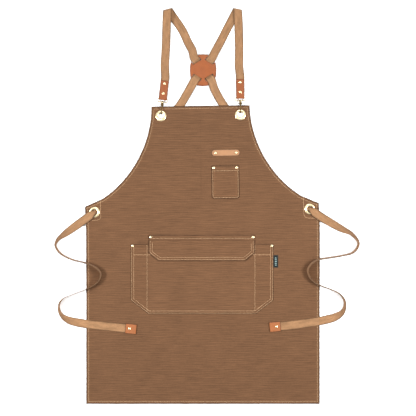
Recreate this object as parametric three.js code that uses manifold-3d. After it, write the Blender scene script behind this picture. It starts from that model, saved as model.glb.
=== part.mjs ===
// Butcher apron with cross-back webbing harness, lying face up: +X right, +Y towards the bib, +Z up.
// Millimetres. The apron is laid out about the middle of its hem, then moved so that the origin is
// the bottom centre of its box without the two free waist ties.

import * as THREE from 'three';
import { mergeVertices } from 'three/addons/utils/BufferGeometryUtils.js';
import Module from 'manifold-3d';

const wasm = await Module();
wasm.setup();

// ---------------------------------------------------------------- driving dimensions

const GAP = 0.3; // air between pieces that touch on the real apron

// canvas body
const SKIRT_HALF = 345;
const BODY_LENGTH = 880;
const BIB_HALF = 145;
const BIB_RISE = 292; // from the waist corners up to the bib's top edge
const WAIST_Y = BODY_LENGTH - BIB_RISE;
const ARMHOLE_END = { x: SKIRT_HALF - 53, y: WAIST_Y + 23 };
const ARMHOLE_HANDLE_TOP = 100;
const ARMHOLE_HANDLE_SIDE = 110;
const ARMHOLE_SLOPE = { x: 0.84, y: -0.545 }; // the way the armhole's hem runs where it ends
const CANVAS = 1.0;
const HEM_STEP = 25; // longest straight piece of an outline

// eyelets
const EYELET_HOLE_R = 8.25;
const EYELET_WALL = 0.45;
const EYELET_FLANGE_R = EYELET_HOLE_R + 7.45;
const EYELET_RIM = 1.2;
const EYELET_CROWN = { in: 1.6, out: 2.2 }; // flat crown of the rim, from the hole and from the flange
const WASHER_R = EYELET_HOLE_R + 6.25;
const WASHER = 0.8;
const BIB_EYELET = { x: BIB_HALF - 27.7, y: BODY_LENGTH - 27.6 };
const WAIST_EYELET = { x: SKIRT_HALF - 27.3, y: WAIST_Y - 16.5 };

// how the body lies: flat on the floor at the hem, lifted over webbing and hooks from the waist up
const WIRE = 3.6; // wire of the snap hooks
const SPINE_AIR = 0.4;
const LIFT = GAP + WIRE + SPINE_AIR + WASHER + GAP;
const LIFT_START_Y = WAIST_Y - 288;
const LIFT_END_Y = WAIST_Y - 43;
const LIFT_STEPS = 12;
const LIE_TURN = THREE.MathUtils.degToRad(0.86);
const LIE_START_Y = WAIST_Y - 88;
const LIE_END_Y = WAIST_Y - 13;
const LIE_PIVOT_Y = WAIST_Y - 188;

// waist corner facings, sewn behind the canvas
const FACING = 0.8;
const FACING_INNER_X = SKIRT_HALF - 46;
const FACING_BOTTOM_Y = WAIST_Y - 45;
const FACING_INSET = 2.5;

// front pouch pocket, its flap and seam band
const POUCH = {
  x: -2.5, half: 210.5, top: WAIST_Y - 115.4, bottom: WAIST_Y - 321.6, chamferX: 52, chamferY: 40,
};
const FLAP = { x: -3.6, half: 156.5, bottom: WAIST_Y - 165.3, chamferX: 29, chamferY: 23 };
const FLAP_HINGE_Y = WAIST_Y - 100.9;
const FLAP_HINGE_GAP = 0.4;
const FLAP_THICK = 1.2;
const BAND_TOP_Y = WAIST_Y - 88.3;

// chest pocket, leather badge strip and side tag
const CHEST = { x: 70, y: BODY_LENGTH - 225.6, width: 82, height: 99, corner: 5 };
const BADGE = { x: 72, y: BODY_LENGTH - 139.2, width: 83, height: 19, thick: 1.6 };
const TAG = { y: WAIST_Y - 166.4, length: 36.6, width: 14, thick: 0.8 };

// rivets
const RIVET_CAP_R = 3.75;
const RIVET_DOME = 1.5;
const RIVET_BACK = 0.9;
const RIVET_SHANK_R = 1.5;
const RIVET_SEAT = 0.45;
const RIVET_SIDES = 11;
const CHEST_RIVET_IN = 7; // rivet middles, in from the edges of what they hold
const POUCH_RIVET_IN = 5;
const BAND_RIVET_IN = 5.5;
const BADGE_RIVET_IN = 11.2;

// webbing
const WEB_WIDTH = 25;
const WEB = 1.6;
const STRAP_STEP = 18; // longest step between rows of a strap, and
const STRAP_RISE = 1.2; // the greatest change of height in one
// shares of a band's width, from right to left of its way
const STRAP_COLUMNS = [-0.5, -0.17, 0.17, 0.5];
const TIE_COLUMNS = [-0.5, 0.5];
const CREASE_ROWS = 16;
const FLOOR_AIR = 0.1; // under webbing that lies on the floor or on webbing
const STRAP_END = EYELET_HOLE_R + 5.75; // where strap and tie meet, from the waist eyelet's middle

// leather cross patch, sized to the webbing it carries
const PATCH = {
  x: 0.4, y: BODY_LENGTH + 105.3, halfWidth: 1.56 * WEB_WIDTH, halfHeight: 1.88 * WEB_WIDTH,
  thick: 2.4, roundness: 2.4,
};
const SLOT_UPPER = { x: 0.792 * WEB_WIDTH, y: 1.1 * WEB_WIDTH, lean: 31 };
const SLOT_LOWER = { x: 0.732 * WEB_WIDTH, y: -0.852 * WEB_WIDTH, lean: 31 };
const SLOT_LENGTH = WEB_WIDTH + 3;
const SLOT_WIDTH = 0.4 * WEB_WIDTH;
const SLOT_RUN = 4; // half the length in which a strap changes level in a slot
const OVER_RUN = 11; // how far before and after the slots a strap is still level
const UNDER_RUN = 10;

// snap hooks
const HOOK_WIDTH = 13.5; // between the middles of spine and nose
const HOOK_BOW_Y = 9;
const SPINE_END_Y = 24;
const NOSE_END_Y = 15;
const KNOB = { start: 29.5, end: 38.2, r: 4 };
const SWIVEL_PIN_R = 1.7;
const SWIVEL_CLEARANCE = 0.3;
const BOSS = { start: 38.5, end: 42.5, r: 3.6 };
const PIN_HEAD = { start: 42.9, end: 44.5, r: 3.0 };
const LOOP = { halfWidth: WEB_WIDTH / 2 + 2.7, nearY: 40.5, farY: 50.2, wire: 2.4, corner: 3 };
const GATE = { pivotY: 31.5, width: 3.2, thick: 2.6, pinR: 0.9, pinClearance: 0.15, pinEnd: 0.3 };
const CHEEK = { thick: 1.4, air: 0.4, reach: 3.4, over: 2 };
const HOOK_TURN = { left: -6.5, right: 0.5 }; // degrees the hanging hooks lie askew

// leather shoulder tabs and tie tips
const LEATHER = 1.6;
const TAB = { width: WEB_WIDTH - 0.6, length: 54, foldAir: 0.5, nip: 8 };
const TAB_RIVETS = [14.5, 43.5]; // from the tab's fold
const TAB_TUCK = 5; // from the tab's fold to the end of the webbing inside it
const TAB_RUN = 10; // how far the webbing goes straight on each side of the tab's open end
const TAB_DROP = 0.5;
const TIP = { width: WEB_WIDTH + 4, length: 32, rivet: 20, leather: 1.4, tuck: 1.5 };

// ---------------------------------------------------------------- colours

const BROWN_CANVAS = 0x8b674e;
const TAN_WEBBING = 0xbe946c;
const RUSSET_LEATHER = 0xc27751;
const PALE_LEATHER = 0xdea97c;
const PALE_BRASS = 0xd9c79a;
const OLD_BRASS = 0x8a7350;
const TAG_GREEN = 0x2d3b33;

const dull = (color, roughness) => new THREE.MeshStandardMaterial({ color, roughness, metalness: 0 });
const metal = (color, roughness) => new THREE.MeshStandardMaterial({ color, roughness, metalness: 1 });
const canvasFinish = () => dull(BROWN_CANVAS, 0.9);
const webbingFinish = () => dull(TAN_WEBBING, 0.85);
const russetFinish = () => dull(RUSSET_LEATHER, 0.6);
const paleFinish = () => dull(PALE_LEATHER, 0.6);
const brassFinish = () => metal(PALE_BRASS, 0.3);
const oldBrassFinish = () => metal(OLD_BRASS, 0.4);
const tagFinish = () => dull(TAG_GREEN, 0.8);

// ---------------------------------------------------------------- levels and lying turn

const smooth = (value, low, high) => THREE.MathUtils.smoothstep(value, low, high);
const lift = (y) => LIFT * smooth(y, LIFT_START_Y, LIFT_END_Y);
const canvasTop = (y) => lift(y) + CANVAS;

/** Turns a point of the flat pattern with the upper body, which lies slightly askew on the skirt. */
function lie(x, y) {
  const turn = LIE_TURN * smooth(y, LIE_START_Y, LIE_END_Y);
  const rise = y - LIE_PIVOT_Y;
  return new THREE.Vector2(
    x * Math.cos(turn) - rise * Math.sin(turn),
    LIE_PIVOT_Y + x * Math.sin(turn) + rise * Math.cos(turn),
  );
}

// heights above the underside of the canvas
const POUCH_LOW = CANVAS + GAP;
const POUCH_HIGH = POUCH_LOW + CANVAS;
const FLAP_LOW = POUCH_HIGH + GAP;
const FLAP_HIGH = FLAP_LOW + FLAP_THICK;
const BIB_WASHER_HIGH = -GAP;
const WAIST_WASHER_HIGH = -GAP - FACING - GAP;

// heights above the floor
const SPINE_Z = GAP + WIRE / 2;
const HOOK_Z = SPINE_Z + HOOK_WIDTH / 2;
const FLOOR_WEB = WEB / 2;
const CROSSING_WEB = 1.5 * WEB + 2 * GAP + FLOOR_AIR;
const PATCH_LOW = CROSSING_WEB + WEB / 2 + 2 * GAP;
const PATCH_HIGH = PATCH_LOW + PATCH.thick;
const OVER_PATCH_WEB = PATCH_HIGH + WEB / 2 + 0.5;
const HOLE_REACH = 10; // how far rivet and eyelet holes are drilled above and below

// ---------------------------------------------------------------- helpers

const apron = new THREE.Group();
const placed = {};

function addMesh(name, geometry, material, parent = apron) {
  const mesh = new THREE.Mesh(geometry, material);
  mesh.name = name;
  parent.add(mesh);
  placed[name] = mesh;
  return mesh;
}

function toSolid(geometry) {
  const bare = geometry.clone();
  bare.deleteAttribute('normal');
  bare.deleteAttribute('uv');
  const merged = mergeVertices(bare, 1e-4);
  return new wasm.Manifold(new wasm.Mesh({
    numProp: 3,
    vertProperties: new Float32Array(merged.attributes.position.array),
    triVerts: new Uint32Array(merged.index.array),
  }));
}

function toGeometry(solid) {
  const mesh = solid.getMesh();
  const geometry = new THREE.BufferGeometry();
  geometry.setAttribute('position', new THREE.BufferAttribute(new Float32Array(mesh.vertProperties), 3));
  geometry.setIndex(new THREE.BufferAttribute(new Uint32Array(mesh.triVerts), 1));
  geometry.computeVertexNormals();
  return geometry;
}

/** An upright round bar, used for cutting holes. */
function bar(x, y, low, high, radius, sides = 24) {
  const geometry = new THREE.CylinderGeometry(radius, radius, high - low, sides);
  geometry.rotateX(Math.PI / 2);
  geometry.translate(x, y, (low + high) / 2);
  return toSolid(geometry);
}

function drill(solid, holes) {
  return holes.reduce((rest, hole) => rest.subtract(hole), solid);
}

/** Splits long edges, then lays the outline down with the body's turn. */
function layOutline(points) {
  const laid = [];
  points.forEach((start, index) => {
    const end = points[(index + 1) % points.length];
    const pieces = Math.max(1, Math.ceil(start.distanceTo(end) / HEM_STEP));
    for (let k = 0; k < pieces; k += 1) {
      const point = start.clone().lerp(end, k / pieces);
      laid.push(lie(point.x, point.y));
    }
  });
  return new THREE.Shape(laid);
}

/** A cloth sheet between two heights above the body's underside, cut to an outline. */
function clothSheet(points, low, high) {
  const outline = layOutline(points);
  const box = new THREE.Box2().setFromPoints(outline.getPoints());
  const rows = [box.min.y - 1];
  for (let k = 0; k <= LIFT_STEPS; k += 1) {
    rows.push(THREE.MathUtils.lerp(LIFT_START_Y, LIFT_END_Y, k / LIFT_STEPS));
  }
  rows.push(box.max.y + 1);
  const used = rows.filter((y) => y >= box.min.y - 1 && y <= box.max.y + 1);
  const below = used.map((y) => new THREE.Vector2(y, lift(y) + low));
  const above = used.map((y) => new THREE.Vector2(y, lift(y) + high)).reverse();
  const width = box.max.x - box.min.x + 2;
  const slab = new THREE.ExtrudeGeometry(new THREE.Shape([...below, ...above]), {
    depth: width, bevelEnabled: false, steps: 1,
  });
  const axes = new THREE.Matrix4().makeBasis(
    new THREE.Vector3(0, 1, 0), new THREE.Vector3(0, 0, 1), new THREE.Vector3(1, 0, 0),
  );
  slab.applyMatrix4(axes);
  slab.translate(box.min.x - 1, 0, 0);
  const reach = LIFT + 20;
  const prism = new THREE.ExtrudeGeometry(outline, { depth: 2 * reach, bevelEnabled: false, steps: 1 });
  prism.translate(0, 0, -reach);
  return toSolid(slab).intersect(toSolid(prism));
}

/** A row of points across a band, with the way its upper face looks at each. */
function bandRow(middle, along, acrossWay, width, thick, columns = STRAP_COLUMNS) {
  const across = acrossWay.clone().addScaledVector(along, -acrossWay.dot(along)).normalize();
  const up = along.clone().cross(across).normalize();
  return {
    points: columns.map((share) => middle.clone().addScaledVector(across, share * width)),
    ups: columns.map(() => up),
    thick,
  };
}

/** A closed band of webbing through rows of points. */
function bandGeometry(rows) {
  const positions = [];
  const indices = [];
  const columns = rows[0].points.length;
  const ring = 2 * columns;
  rows.forEach(({ points, ups, thick }) => {
    const lower = points.map((point, c) => point.clone().addScaledVector(ups[c], -thick / 2));
    const upper = points.map((point, c) => point.clone().addScaledVector(ups[c], thick / 2));
    [...lower, ...upper.reverse()].forEach((corner) => positions.push(corner.x, corner.y, corner.z));
  });
  const last = rows.length - 1;
  for (let k = 0; k < last; k += 1) {
    for (let c = 0; c < ring; c += 1) {
      const a = ring * k + c;
      const b = ring * k + ((c + 1) % ring);
      indices.push(a, b, b + ring, a, b + ring, a + ring);
    }
  }
  const end = ring * last;
  for (let c = 0; c < columns - 1; c += 1) {
    const [a, b, d, e] = [c, c + 1, ring - 2 - c, ring - 1 - c];
    indices.push(a, d, b, a, e, d, end + a, end + b, end + d, end + a, end + d, end + e);
  }
  const geometry = new THREE.BufferGeometry();
  geometry.setAttribute('position', new THREE.Float32BufferAttribute(positions, 3));
  geometry.setIndex(indices);
  geometry.computeVertexNormals();
  return geometry;
}

/** A rivet pressed through layers whose faces lie at the two seats. */
function rivetGeometry(frontSeat, backSeat) {
  const profile = [
    [0, backSeat - RIVET_BACK], [RIVET_CAP_R - 0.8, backSeat - RIVET_BACK], [RIVET_CAP_R - 0.2, backSeat],
    [RIVET_SHANK_R, backSeat], [RIVET_SHANK_R, frontSeat], [RIVET_CAP_R, frontSeat],
    [RIVET_CAP_R, frontSeat + 0.3 * RIVET_DOME], [0.75 * RIVET_CAP_R, frontSeat + 0.8 * RIVET_DOME],
    [0, frontSeat + RIVET_DOME],
  ].map(([r, z]) => new THREE.Vector2(r, z));
  const geometry = new THREE.LatheGeometry(profile, RIVET_SIDES);
  geometry.rotateX(Math.PI / 2);
  return geometry;
}

function rivetHole(x, y, z) {
  return bar(x, y, z - HOLE_REACH, z + HOLE_REACH, RIVET_SHANK_R + GAP, RIVET_SIDES);
}

/** Puts a rivet through cloth layers at a pattern point and returns the hole it needs. */
function clothRivet(name, x, y, top) {
  const point = lie(x, y);
  const level = lift(point.y);
  const rivet = addMesh(name, rivetGeometry(top + RIVET_SEAT, -RIVET_SEAT), brassFinish());
  rivet.position.set(point.x, point.y, level);
  return rivetHole(point.x, point.y, level);
}

function ringGeometry(profile, sides) {
  const closed = [...profile, profile[0]].map(([r, z]) => new THREE.Vector2(r, z));
  const geometry = new THREE.LatheGeometry(closed, sides);
  geometry.rotateX(Math.PI / 2);
  return geometry;
}

// ---------------------------------------------------------------- outlines of the flat pattern

function chamferedOutline(centreX, half, top, bottom, chamferX, chamferY) {
  return [
    [centreX - half, top], [centreX - half, bottom + chamferY], [centreX - half + chamferX, bottom],
    [centreX + half - chamferX, bottom], [centreX + half, bottom + chamferY], [centreX + half, top],
  ].map(([x, y]) => new THREE.Vector2(x, y));
}

function bodyOutline() {
  const slope = new THREE.Vector2(ARMHOLE_SLOPE.x, ARMHOLE_SLOPE.y).normalize();
  const armhole = new THREE.CubicBezierCurve(
    new THREE.Vector2(BIB_HALF, BODY_LENGTH),
    new THREE.Vector2(BIB_HALF, BODY_LENGTH - ARMHOLE_HANDLE_TOP),
    new THREE.Vector2(ARMHOLE_END.x, ARMHOLE_END.y).addScaledVector(slope, -ARMHOLE_HANDLE_SIDE),
    new THREE.Vector2(ARMHOLE_END.x, ARMHOLE_END.y),
  ).getPoints(18);
  const right = [
    new THREE.Vector2(SKIRT_HALF, 0), new THREE.Vector2(SKIRT_HALF, WAIST_Y), ...armhole.reverse(),
  ];
  const left = right.map((point) => new THREE.Vector2(-point.x, point.y)).reverse();
  return [...right, ...left];
}

function boxOutline(centreX, centreY, width, height) {
  return [[-1, -1], [1, -1], [1, 1], [-1, 1]].map(
    ([sx, sy]) => new THREE.Vector2(centreX + sx * width / 2, centreY + sy * height / 2),
  );
}

/** A box with its two lower corners cut off. */
function pocketOutline({ x, y, width, height, corner }) {
  return chamferedOutline(x, width / 2, y + height / 2, y - height / 2, corner, corner);
}

/** A strip with half-round ends. */
function stripOutline({ x, y, width, height }) {
  const radius = height / 2;
  const points = [];
  [[1, -90], [-1, 90]].forEach(([side, start]) => {
    for (let k = 0; k <= 8; k += 1) {
      const angle = THREE.MathUtils.degToRad(start + 180 * k / 8);
      points.push(new THREE.Vector2(
        x + side * (width / 2 - radius) + radius * Math.cos(angle),
        y + radius * Math.sin(angle),
      ));
    }
  });
  return points;
}

function facingOutline(side) {
  const slope = (ARMHOLE_END.y - WAIST_Y) / (SKIRT_HALF - ARMHOLE_END.x);
  const outer = SKIRT_HALF - FACING_INSET;
  const edge = (x) => WAIST_Y + slope * (SKIRT_HALF - x) - FACING_INSET;
  const points = [
    [FACING_INNER_X, FACING_BOTTOM_Y], [outer, FACING_BOTTOM_Y], [outer, edge(outer)],
    [FACING_INNER_X, edge(FACING_INNER_X)],
  ].map(([x, y]) => new THREE.Vector2(side * x, y));
  return side > 0 ? points : points.reverse();
}

// ---------------------------------------------------------------- cloth pieces and their rivets

const SIDES = [['left', -1], ['right', 1]];
const pouchHoles = [];
const bandHoles = [];
const chestHoles = [];
const badgeHoles = [];
const bandRivetY = (FLAP_HINGE_Y + BAND_TOP_Y) / 2 - FLAP_HINGE_GAP;

SIDES.forEach(([word, side]) => {
  pouchHoles.push(clothRivet(
    `pouch_rivet_${word}`, POUCH.x + side * (POUCH.half - POUCH_RIVET_IN),
    POUCH.top - POUCH_RIVET_IN, POUCH_HIGH,
  ));
  bandHoles.push(clothRivet(
    `flap_band_rivet_${word}`, FLAP.x + side * (FLAP.half - BAND_RIVET_IN), bandRivetY, FLAP_HIGH,
  ));
  chestHoles.push(clothRivet(
    `chest_pocket_rivet_${word}`, CHEST.x + side * (CHEST.width / 2 - CHEST_RIVET_IN),
    CHEST.y + CHEST.height / 2 - CHEST_RIVET_IN, POUCH_HIGH,
  ));
  badgeHoles.push(clothRivet(
    `badge_rivet_${word}`, BADGE.x + side * (BADGE.width / 2 - BADGE_RIVET_IN), BADGE.y,
    POUCH_LOW + BADGE.thick,
  ));
});

const eyeletSpots = [
  ...SIDES.map(([word, side]) => ({
    name: `bib_eyelet_${word}`, x: side * BIB_EYELET.x, y: BIB_EYELET.y, washerHigh: BIB_WASHER_HIGH,
  })),
  ...SIDES.map(([word, side]) => ({
    name: `waist_eyelet_${word}`, x: side * WAIST_EYELET.x, y: WAIST_EYELET.y, washerHigh: WAIST_WASHER_HIGH,
  })),
];
const clothHoleR = EYELET_HOLE_R + EYELET_WALL + GAP;

const eyeletHoles = eyeletSpots.map(({ name, x, y, washerHigh }) => {
  const point = lie(x, y);
  const level = lift(point.y);
  const barrelR = EYELET_HOLE_R + EYELET_WALL;
  const seat = CANVAS + GAP;
  const low = washerHigh - WASHER;
  const eyelet = addMesh(name, ringGeometry([
    [EYELET_HOLE_R, low], [barrelR, low], [barrelR, seat], [EYELET_FLANGE_R - 0.4, seat],
    [EYELET_FLANGE_R, seat + 0.5 * EYELET_RIM], [EYELET_FLANGE_R - EYELET_CROWN.out, seat + EYELET_RIM],
    [EYELET_HOLE_R + EYELET_CROWN.in, seat + EYELET_RIM], [EYELET_HOLE_R, seat + 0.3 * EYELET_RIM],
  ], 26), brassFinish());
  eyelet.position.set(point.x, point.y, level);
  const washer = addMesh(`${name}_washer`, ringGeometry([
    [clothHoleR, low], [WASHER_R, low], [WASHER_R, washerHigh], [clothHoleR, washerHigh],
  ], 20), brassFinish());
  washer.position.set(point.x, point.y, level);
  return bar(point.x, point.y, level - HOLE_REACH, level + HOLE_REACH, clothHoleR, 26);
});

addMesh('apron_panel', toGeometry(drill(
  clothSheet(bodyOutline(), 0, CANVAS),
  [...eyeletHoles, ...pouchHoles, ...bandHoles, ...chestHoles, ...badgeHoles],
)), canvasFinish());

addMesh('pouch_pocket', toGeometry(drill(
  clothSheet(
    chamferedOutline(POUCH.x, POUCH.half, POUCH.top, POUCH.bottom, POUCH.chamferX, POUCH.chamferY),
    POUCH_LOW, POUCH_HIGH,
  ), pouchHoles,
)), canvasFinish());

addMesh('flap_band', toGeometry(drill(
  clothSheet(
    boxOutline(
      FLAP.x, (FLAP_HINGE_Y + FLAP_HINGE_GAP / 2 + BAND_TOP_Y) / 2,
      2 * FLAP.half, BAND_TOP_Y - FLAP_HINGE_Y - FLAP_HINGE_GAP / 2,
    ),
    POUCH_LOW, FLAP_HIGH,
  ), bandHoles,
)), canvasFinish());

addMesh('pocket_flap', toGeometry(clothSheet(
  chamferedOutline(
    FLAP.x, FLAP.half, FLAP_HINGE_Y - FLAP_HINGE_GAP / 2, FLAP.bottom, FLAP.chamferX, FLAP.chamferY,
  ),
  FLAP_LOW, FLAP_HIGH,
)), canvasFinish());

addMesh('chest_pocket', toGeometry(drill(
  clothSheet(pocketOutline(CHEST), POUCH_LOW, POUCH_HIGH), chestHoles,
)), canvasFinish());

addMesh('badge_strip', toGeometry(drill(
  clothSheet(stripOutline(BADGE), POUCH_LOW, POUCH_LOW + BADGE.thick), badgeHoles,
)), paleFinish());

addMesh('side_tag', toGeometry(clothSheet(
  boxOutline(POUCH.x + POUCH.half + GAP + TAG.width / 2, TAG.y, TAG.width, TAG.length),
  POUCH_LOW, POUCH_LOW + TAG.thick,
)), tagFinish());

SIDES.forEach(([word, side]) => {
  const hole = side < 0 ? eyeletHoles[2] : eyeletHoles[3];
  addMesh(`waist_facing_${word}`, toGeometry(drill(
    clothSheet(facingOutline(side), -GAP - FACING, -GAP), [hole],
  )), canvasFinish());
});

// ---------------------------------------------------------------- leather cross patch

function patchShape() {
  const points = [];
  const count = 48;
  for (let k = 0; k < count; k += 1) {
    const angle = 2 * Math.PI * k / count;
    const power = 2 / PATCH.roundness;
    const c = Math.cos(angle);
    const s = Math.sin(angle);
    points.push(new THREE.Vector2(
      PATCH.halfWidth * Math.sign(c) * Math.abs(c) ** power,
      PATCH.halfHeight * Math.sign(s) * Math.abs(s) ** power,
    ));
  }
  return new THREE.Shape(points);
}

function patchSlots() {
  const slots = [];
  [-1, 1].forEach((side) => {
    slots.push({ x: side * SLOT_UPPER.x, y: SLOT_UPPER.y, lean: -side * SLOT_UPPER.lean });
    slots.push({ x: side * SLOT_LOWER.x, y: SLOT_LOWER.y, lean: side * SLOT_LOWER.lean });
  });
  return slots;
}

const patchBlank = new THREE.ExtrudeGeometry(patchShape(), {
  depth: PATCH.thick, bevelEnabled: false, steps: 1,
});
const slotCutters = patchSlots().map(({ x, y, lean }) => {
  const cutter = new THREE.BoxGeometry(SLOT_LENGTH, SLOT_WIDTH, 3 * PATCH.thick);
  cutter.rotateZ(THREE.MathUtils.degToRad(lean));
  cutter.translate(x, y, PATCH.thick / 2);
  return toSolid(cutter);
});
const patch = addMesh('cross_patch', toGeometry(drill(toSolid(patchBlank), slotCutters)), russetFinish());
patch.position.set(PATCH.x, PATCH.y, PATCH_LOW);

// ---------------------------------------------------------------- snap hooks and shoulder tabs

/** Sweeps a round wire along a curve. */
function wireGeometry(curve, radius, steps, sides = 8) {
  const section = new THREE.Shape();
  for (let k = 0; k < sides; k += 1) {
    const angle = 2 * Math.PI * k / sides;
    const point = [radius * Math.cos(angle), radius * Math.sin(angle)];
    if (k === 0) {
      section.moveTo(...point);
    } else {
      section.lineTo(...point);
    }
  }
  section.closePath();
  return new THREE.ExtrudeGeometry(section, { steps, bevelEnabled: false, extrudePath: curve });
}

/** A round turning along +Y, from a profile of [radius, y] points. */
function turnedAlongY(profile, sides = 12) {
  return new THREE.LatheGeometry(profile.map(([r, y]) => new THREE.Vector2(r, y)), sides);
}

function barAlongX(radius, from, to, y, z, sides = 12) {
  const geometry = new THREE.CylinderGeometry(radius, radius, to - from, sides);
  geometry.rotateZ(Math.PI / 2);
  geometry.translate((from + to) / 2, y, z);
  return geometry;
}

const NOSE_Z = HOOK_WIDTH / 2; // above the swivel axis, which is this group's Z = 0

function hookBodyGeometry() {
  const route = new THREE.CurvePath();
  const at = (y, z) => new THREE.Vector3(0, y, z);
  route.add(new THREE.CubicBezierCurve3(
    at(KNOB.start + 5, -1), at(KNOB.start + 1, -3), at(SPINE_END_Y + 4, -NOSE_Z), at(SPINE_END_Y, -NOSE_Z),
  ));
  route.add(new THREE.LineCurve3(at(SPINE_END_Y, -NOSE_Z), at(HOOK_BOW_Y, -NOSE_Z)));
  const kappa = 0.5523 * NOSE_Z;
  route.add(new THREE.CubicBezierCurve3(
    at(HOOK_BOW_Y, -NOSE_Z), at(HOOK_BOW_Y - kappa, -NOSE_Z),
    at(HOOK_BOW_Y - NOSE_Z, -kappa), at(HOOK_BOW_Y - NOSE_Z, 0),
  ));
  route.add(new THREE.CubicBezierCurve3(
    at(HOOK_BOW_Y - NOSE_Z, 0), at(HOOK_BOW_Y - NOSE_Z, kappa),
    at(HOOK_BOW_Y - kappa, NOSE_Z), at(HOOK_BOW_Y, NOSE_Z),
  ));
  route.add(new THREE.LineCurve3(at(HOOK_BOW_Y, NOSE_Z), at(NOSE_END_Y, NOSE_Z)));
  const wire = toSolid(wireGeometry(route, WIRE / 2, 34));
  const knob = toSolid(turnedAlongY([
    [0, KNOB.start], [KNOB.r - 1, KNOB.start], [KNOB.r, KNOB.start + 1.2], [KNOB.r, KNOB.end - 1],
    [KNOB.r - 0.6, KNOB.end], [SWIVEL_PIN_R, KNOB.end], [SWIVEL_PIN_R, PIN_HEAD.start],
    [PIN_HEAD.r, PIN_HEAD.start], [PIN_HEAD.r, PIN_HEAD.end - 0.4], [0, PIN_HEAD.end],
  ]));
  const cheekMiddle = GATE.width / 2 + CHEEK.air + CHEEK.thick / 2;
  const cheekHeight = NOSE_Z + CHEEK.over;
  const cheeks = [-1, 1].map((side) => {
    const cheek = new THREE.BoxGeometry(CHEEK.thick, 2 * CHEEK.reach, cheekHeight);
    cheek.translate(side * cheekMiddle, GATE.pivotY, cheekHeight / 2);
    return toSolid(cheek);
  });
  const hole = toSolid(barAlongX(GATE.pinR + GATE.pinClearance, -10, 10, GATE.pivotY, NOSE_Z));
  const joined = wire.add(knob).add(cheeks[0]).add(cheeks[1]);
  return toGeometry(joined.subtract(hole));
}

function gateGeometry() {
  const free = NOSE_END_Y + GAP;
  const heel = GATE.pivotY + GATE.thick / 2;
  const blade = new THREE.BoxGeometry(GATE.width, heel - free, GATE.thick);
  blade.translate(0, (heel + free) / 2, NOSE_Z);
  const hole = toSolid(barAlongX(GATE.pinR + GATE.pinClearance, -10, 10, GATE.pivotY, NOSE_Z));
  return toGeometry(toSolid(blade).subtract(hole));
}

function gatePinGeometry() {
  const half = GATE.width / 2 + CHEEK.air + CHEEK.thick + GATE.pinEnd;
  return barAlongX(GATE.pinR, -half, half, GATE.pivotY, NOSE_Z);
}

/** The strap loop: a rounded rectangle of wire with a boss for the swivel pin. */
function loopGeometry() {
  const { halfWidth: w, nearY, farY, wire, corner } = LOOP;
  const outline = (inset, path) => {
    const c = Math.max(0.6, corner - inset);
    const [x, low, high] = [w - inset, nearY - wire / 2 + inset, farY + wire / 2 - inset];
    path.moveTo(-x + c, low);
    path.lineTo(x - c, low);
    path.absarc(x - c, low + c, c, -Math.PI / 2, 0);
    path.lineTo(x, high - c);
    path.absarc(x - c, high - c, c, 0, Math.PI / 2);
    path.lineTo(-x + c, high);
    path.absarc(-x + c, high - c, c, Math.PI / 2, Math.PI);
    path.lineTo(-x, low + c);
    path.absarc(-x + c, low + c, c, Math.PI, 1.5 * Math.PI);
    return path;
  };
  const shape = outline(0, new THREE.Shape());
  shape.holes.push(outline(wire, new THREE.Path()));
  const frame = new THREE.ExtrudeGeometry(shape, {
    depth: wire, bevelEnabled: false, steps: 1, curveSegments: 5,
  });
  frame.translate(0, 0, -wire / 2);
  const boss = turnedAlongY([[0, BOSS.start], [BOSS.r, BOSS.start], [BOSS.r, BOSS.end], [0, BOSS.end]]);
  const bore = turnedAlongY([
    [0, BOSS.start - 2], [SWIVEL_PIN_R + SWIVEL_CLEARANCE, BOSS.start - 2],
    [SWIVEL_PIN_R + SWIVEL_CLEARANCE, BOSS.end + 2], [0, BOSS.end + 2],
  ]);
  return toGeometry(toSolid(frame).add(toSolid(boss)).subtract(toSolid(bore)));
}

const TAB_FOLD_Y = LOOP.farY + LOOP.wire / 2 + TAB.foldAir;
const TAB_END_Y = TAB_FOLD_Y + TAB.length - LEATHER;
const TAB_AIR = WEB / 2 + GAP;

/** Leather folded round the loop's far bar, its two leaves closing on the strap's end. */
function tabGeometry() {
  const bulge = LOOP.wire / 2 + TAB.foldAir;
  const barY = LOOP.farY;
  const nipY = barY + TAB.nip;
  const inner = [];
  const outer = [];
  for (let k = 0; k <= 8; k += 1) {
    const angle = Math.PI * (0.5 + k / 8);
    inner.push([barY + bulge * Math.cos(angle), bulge * Math.sin(angle)]);
    outer.push([barY + (bulge + LEATHER) * Math.cos(angle), (bulge + LEATHER) * Math.sin(angle)]);
  }
  const profile = [
    [TAB_END_Y, TAB_AIR], [nipY, TAB_AIR], ...inner, [nipY, -TAB_AIR], [TAB_END_Y, -TAB_AIR],
    [TAB_END_Y, -TAB_AIR - LEATHER], [nipY, -TAB_AIR - LEATHER], ...outer.reverse(),
    [nipY, TAB_AIR + LEATHER], [TAB_END_Y, TAB_AIR + LEATHER],
  ].map(([y, z]) => new THREE.Vector2(y, z));
  const geometry = new THREE.ExtrudeGeometry(new THREE.Shape(profile), {
    depth: TAB.width, bevelEnabled: false, steps: 1,
  });
  geometry.applyMatrix4(new THREE.Matrix4().makeBasis(
    new THREE.Vector3(0, 1, 0), new THREE.Vector3(0, 0, 1), new THREE.Vector3(1, 0, 0),
  ));
  geometry.translate(-TAB.width / 2, 0, 0);
  return geometry;
}

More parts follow.
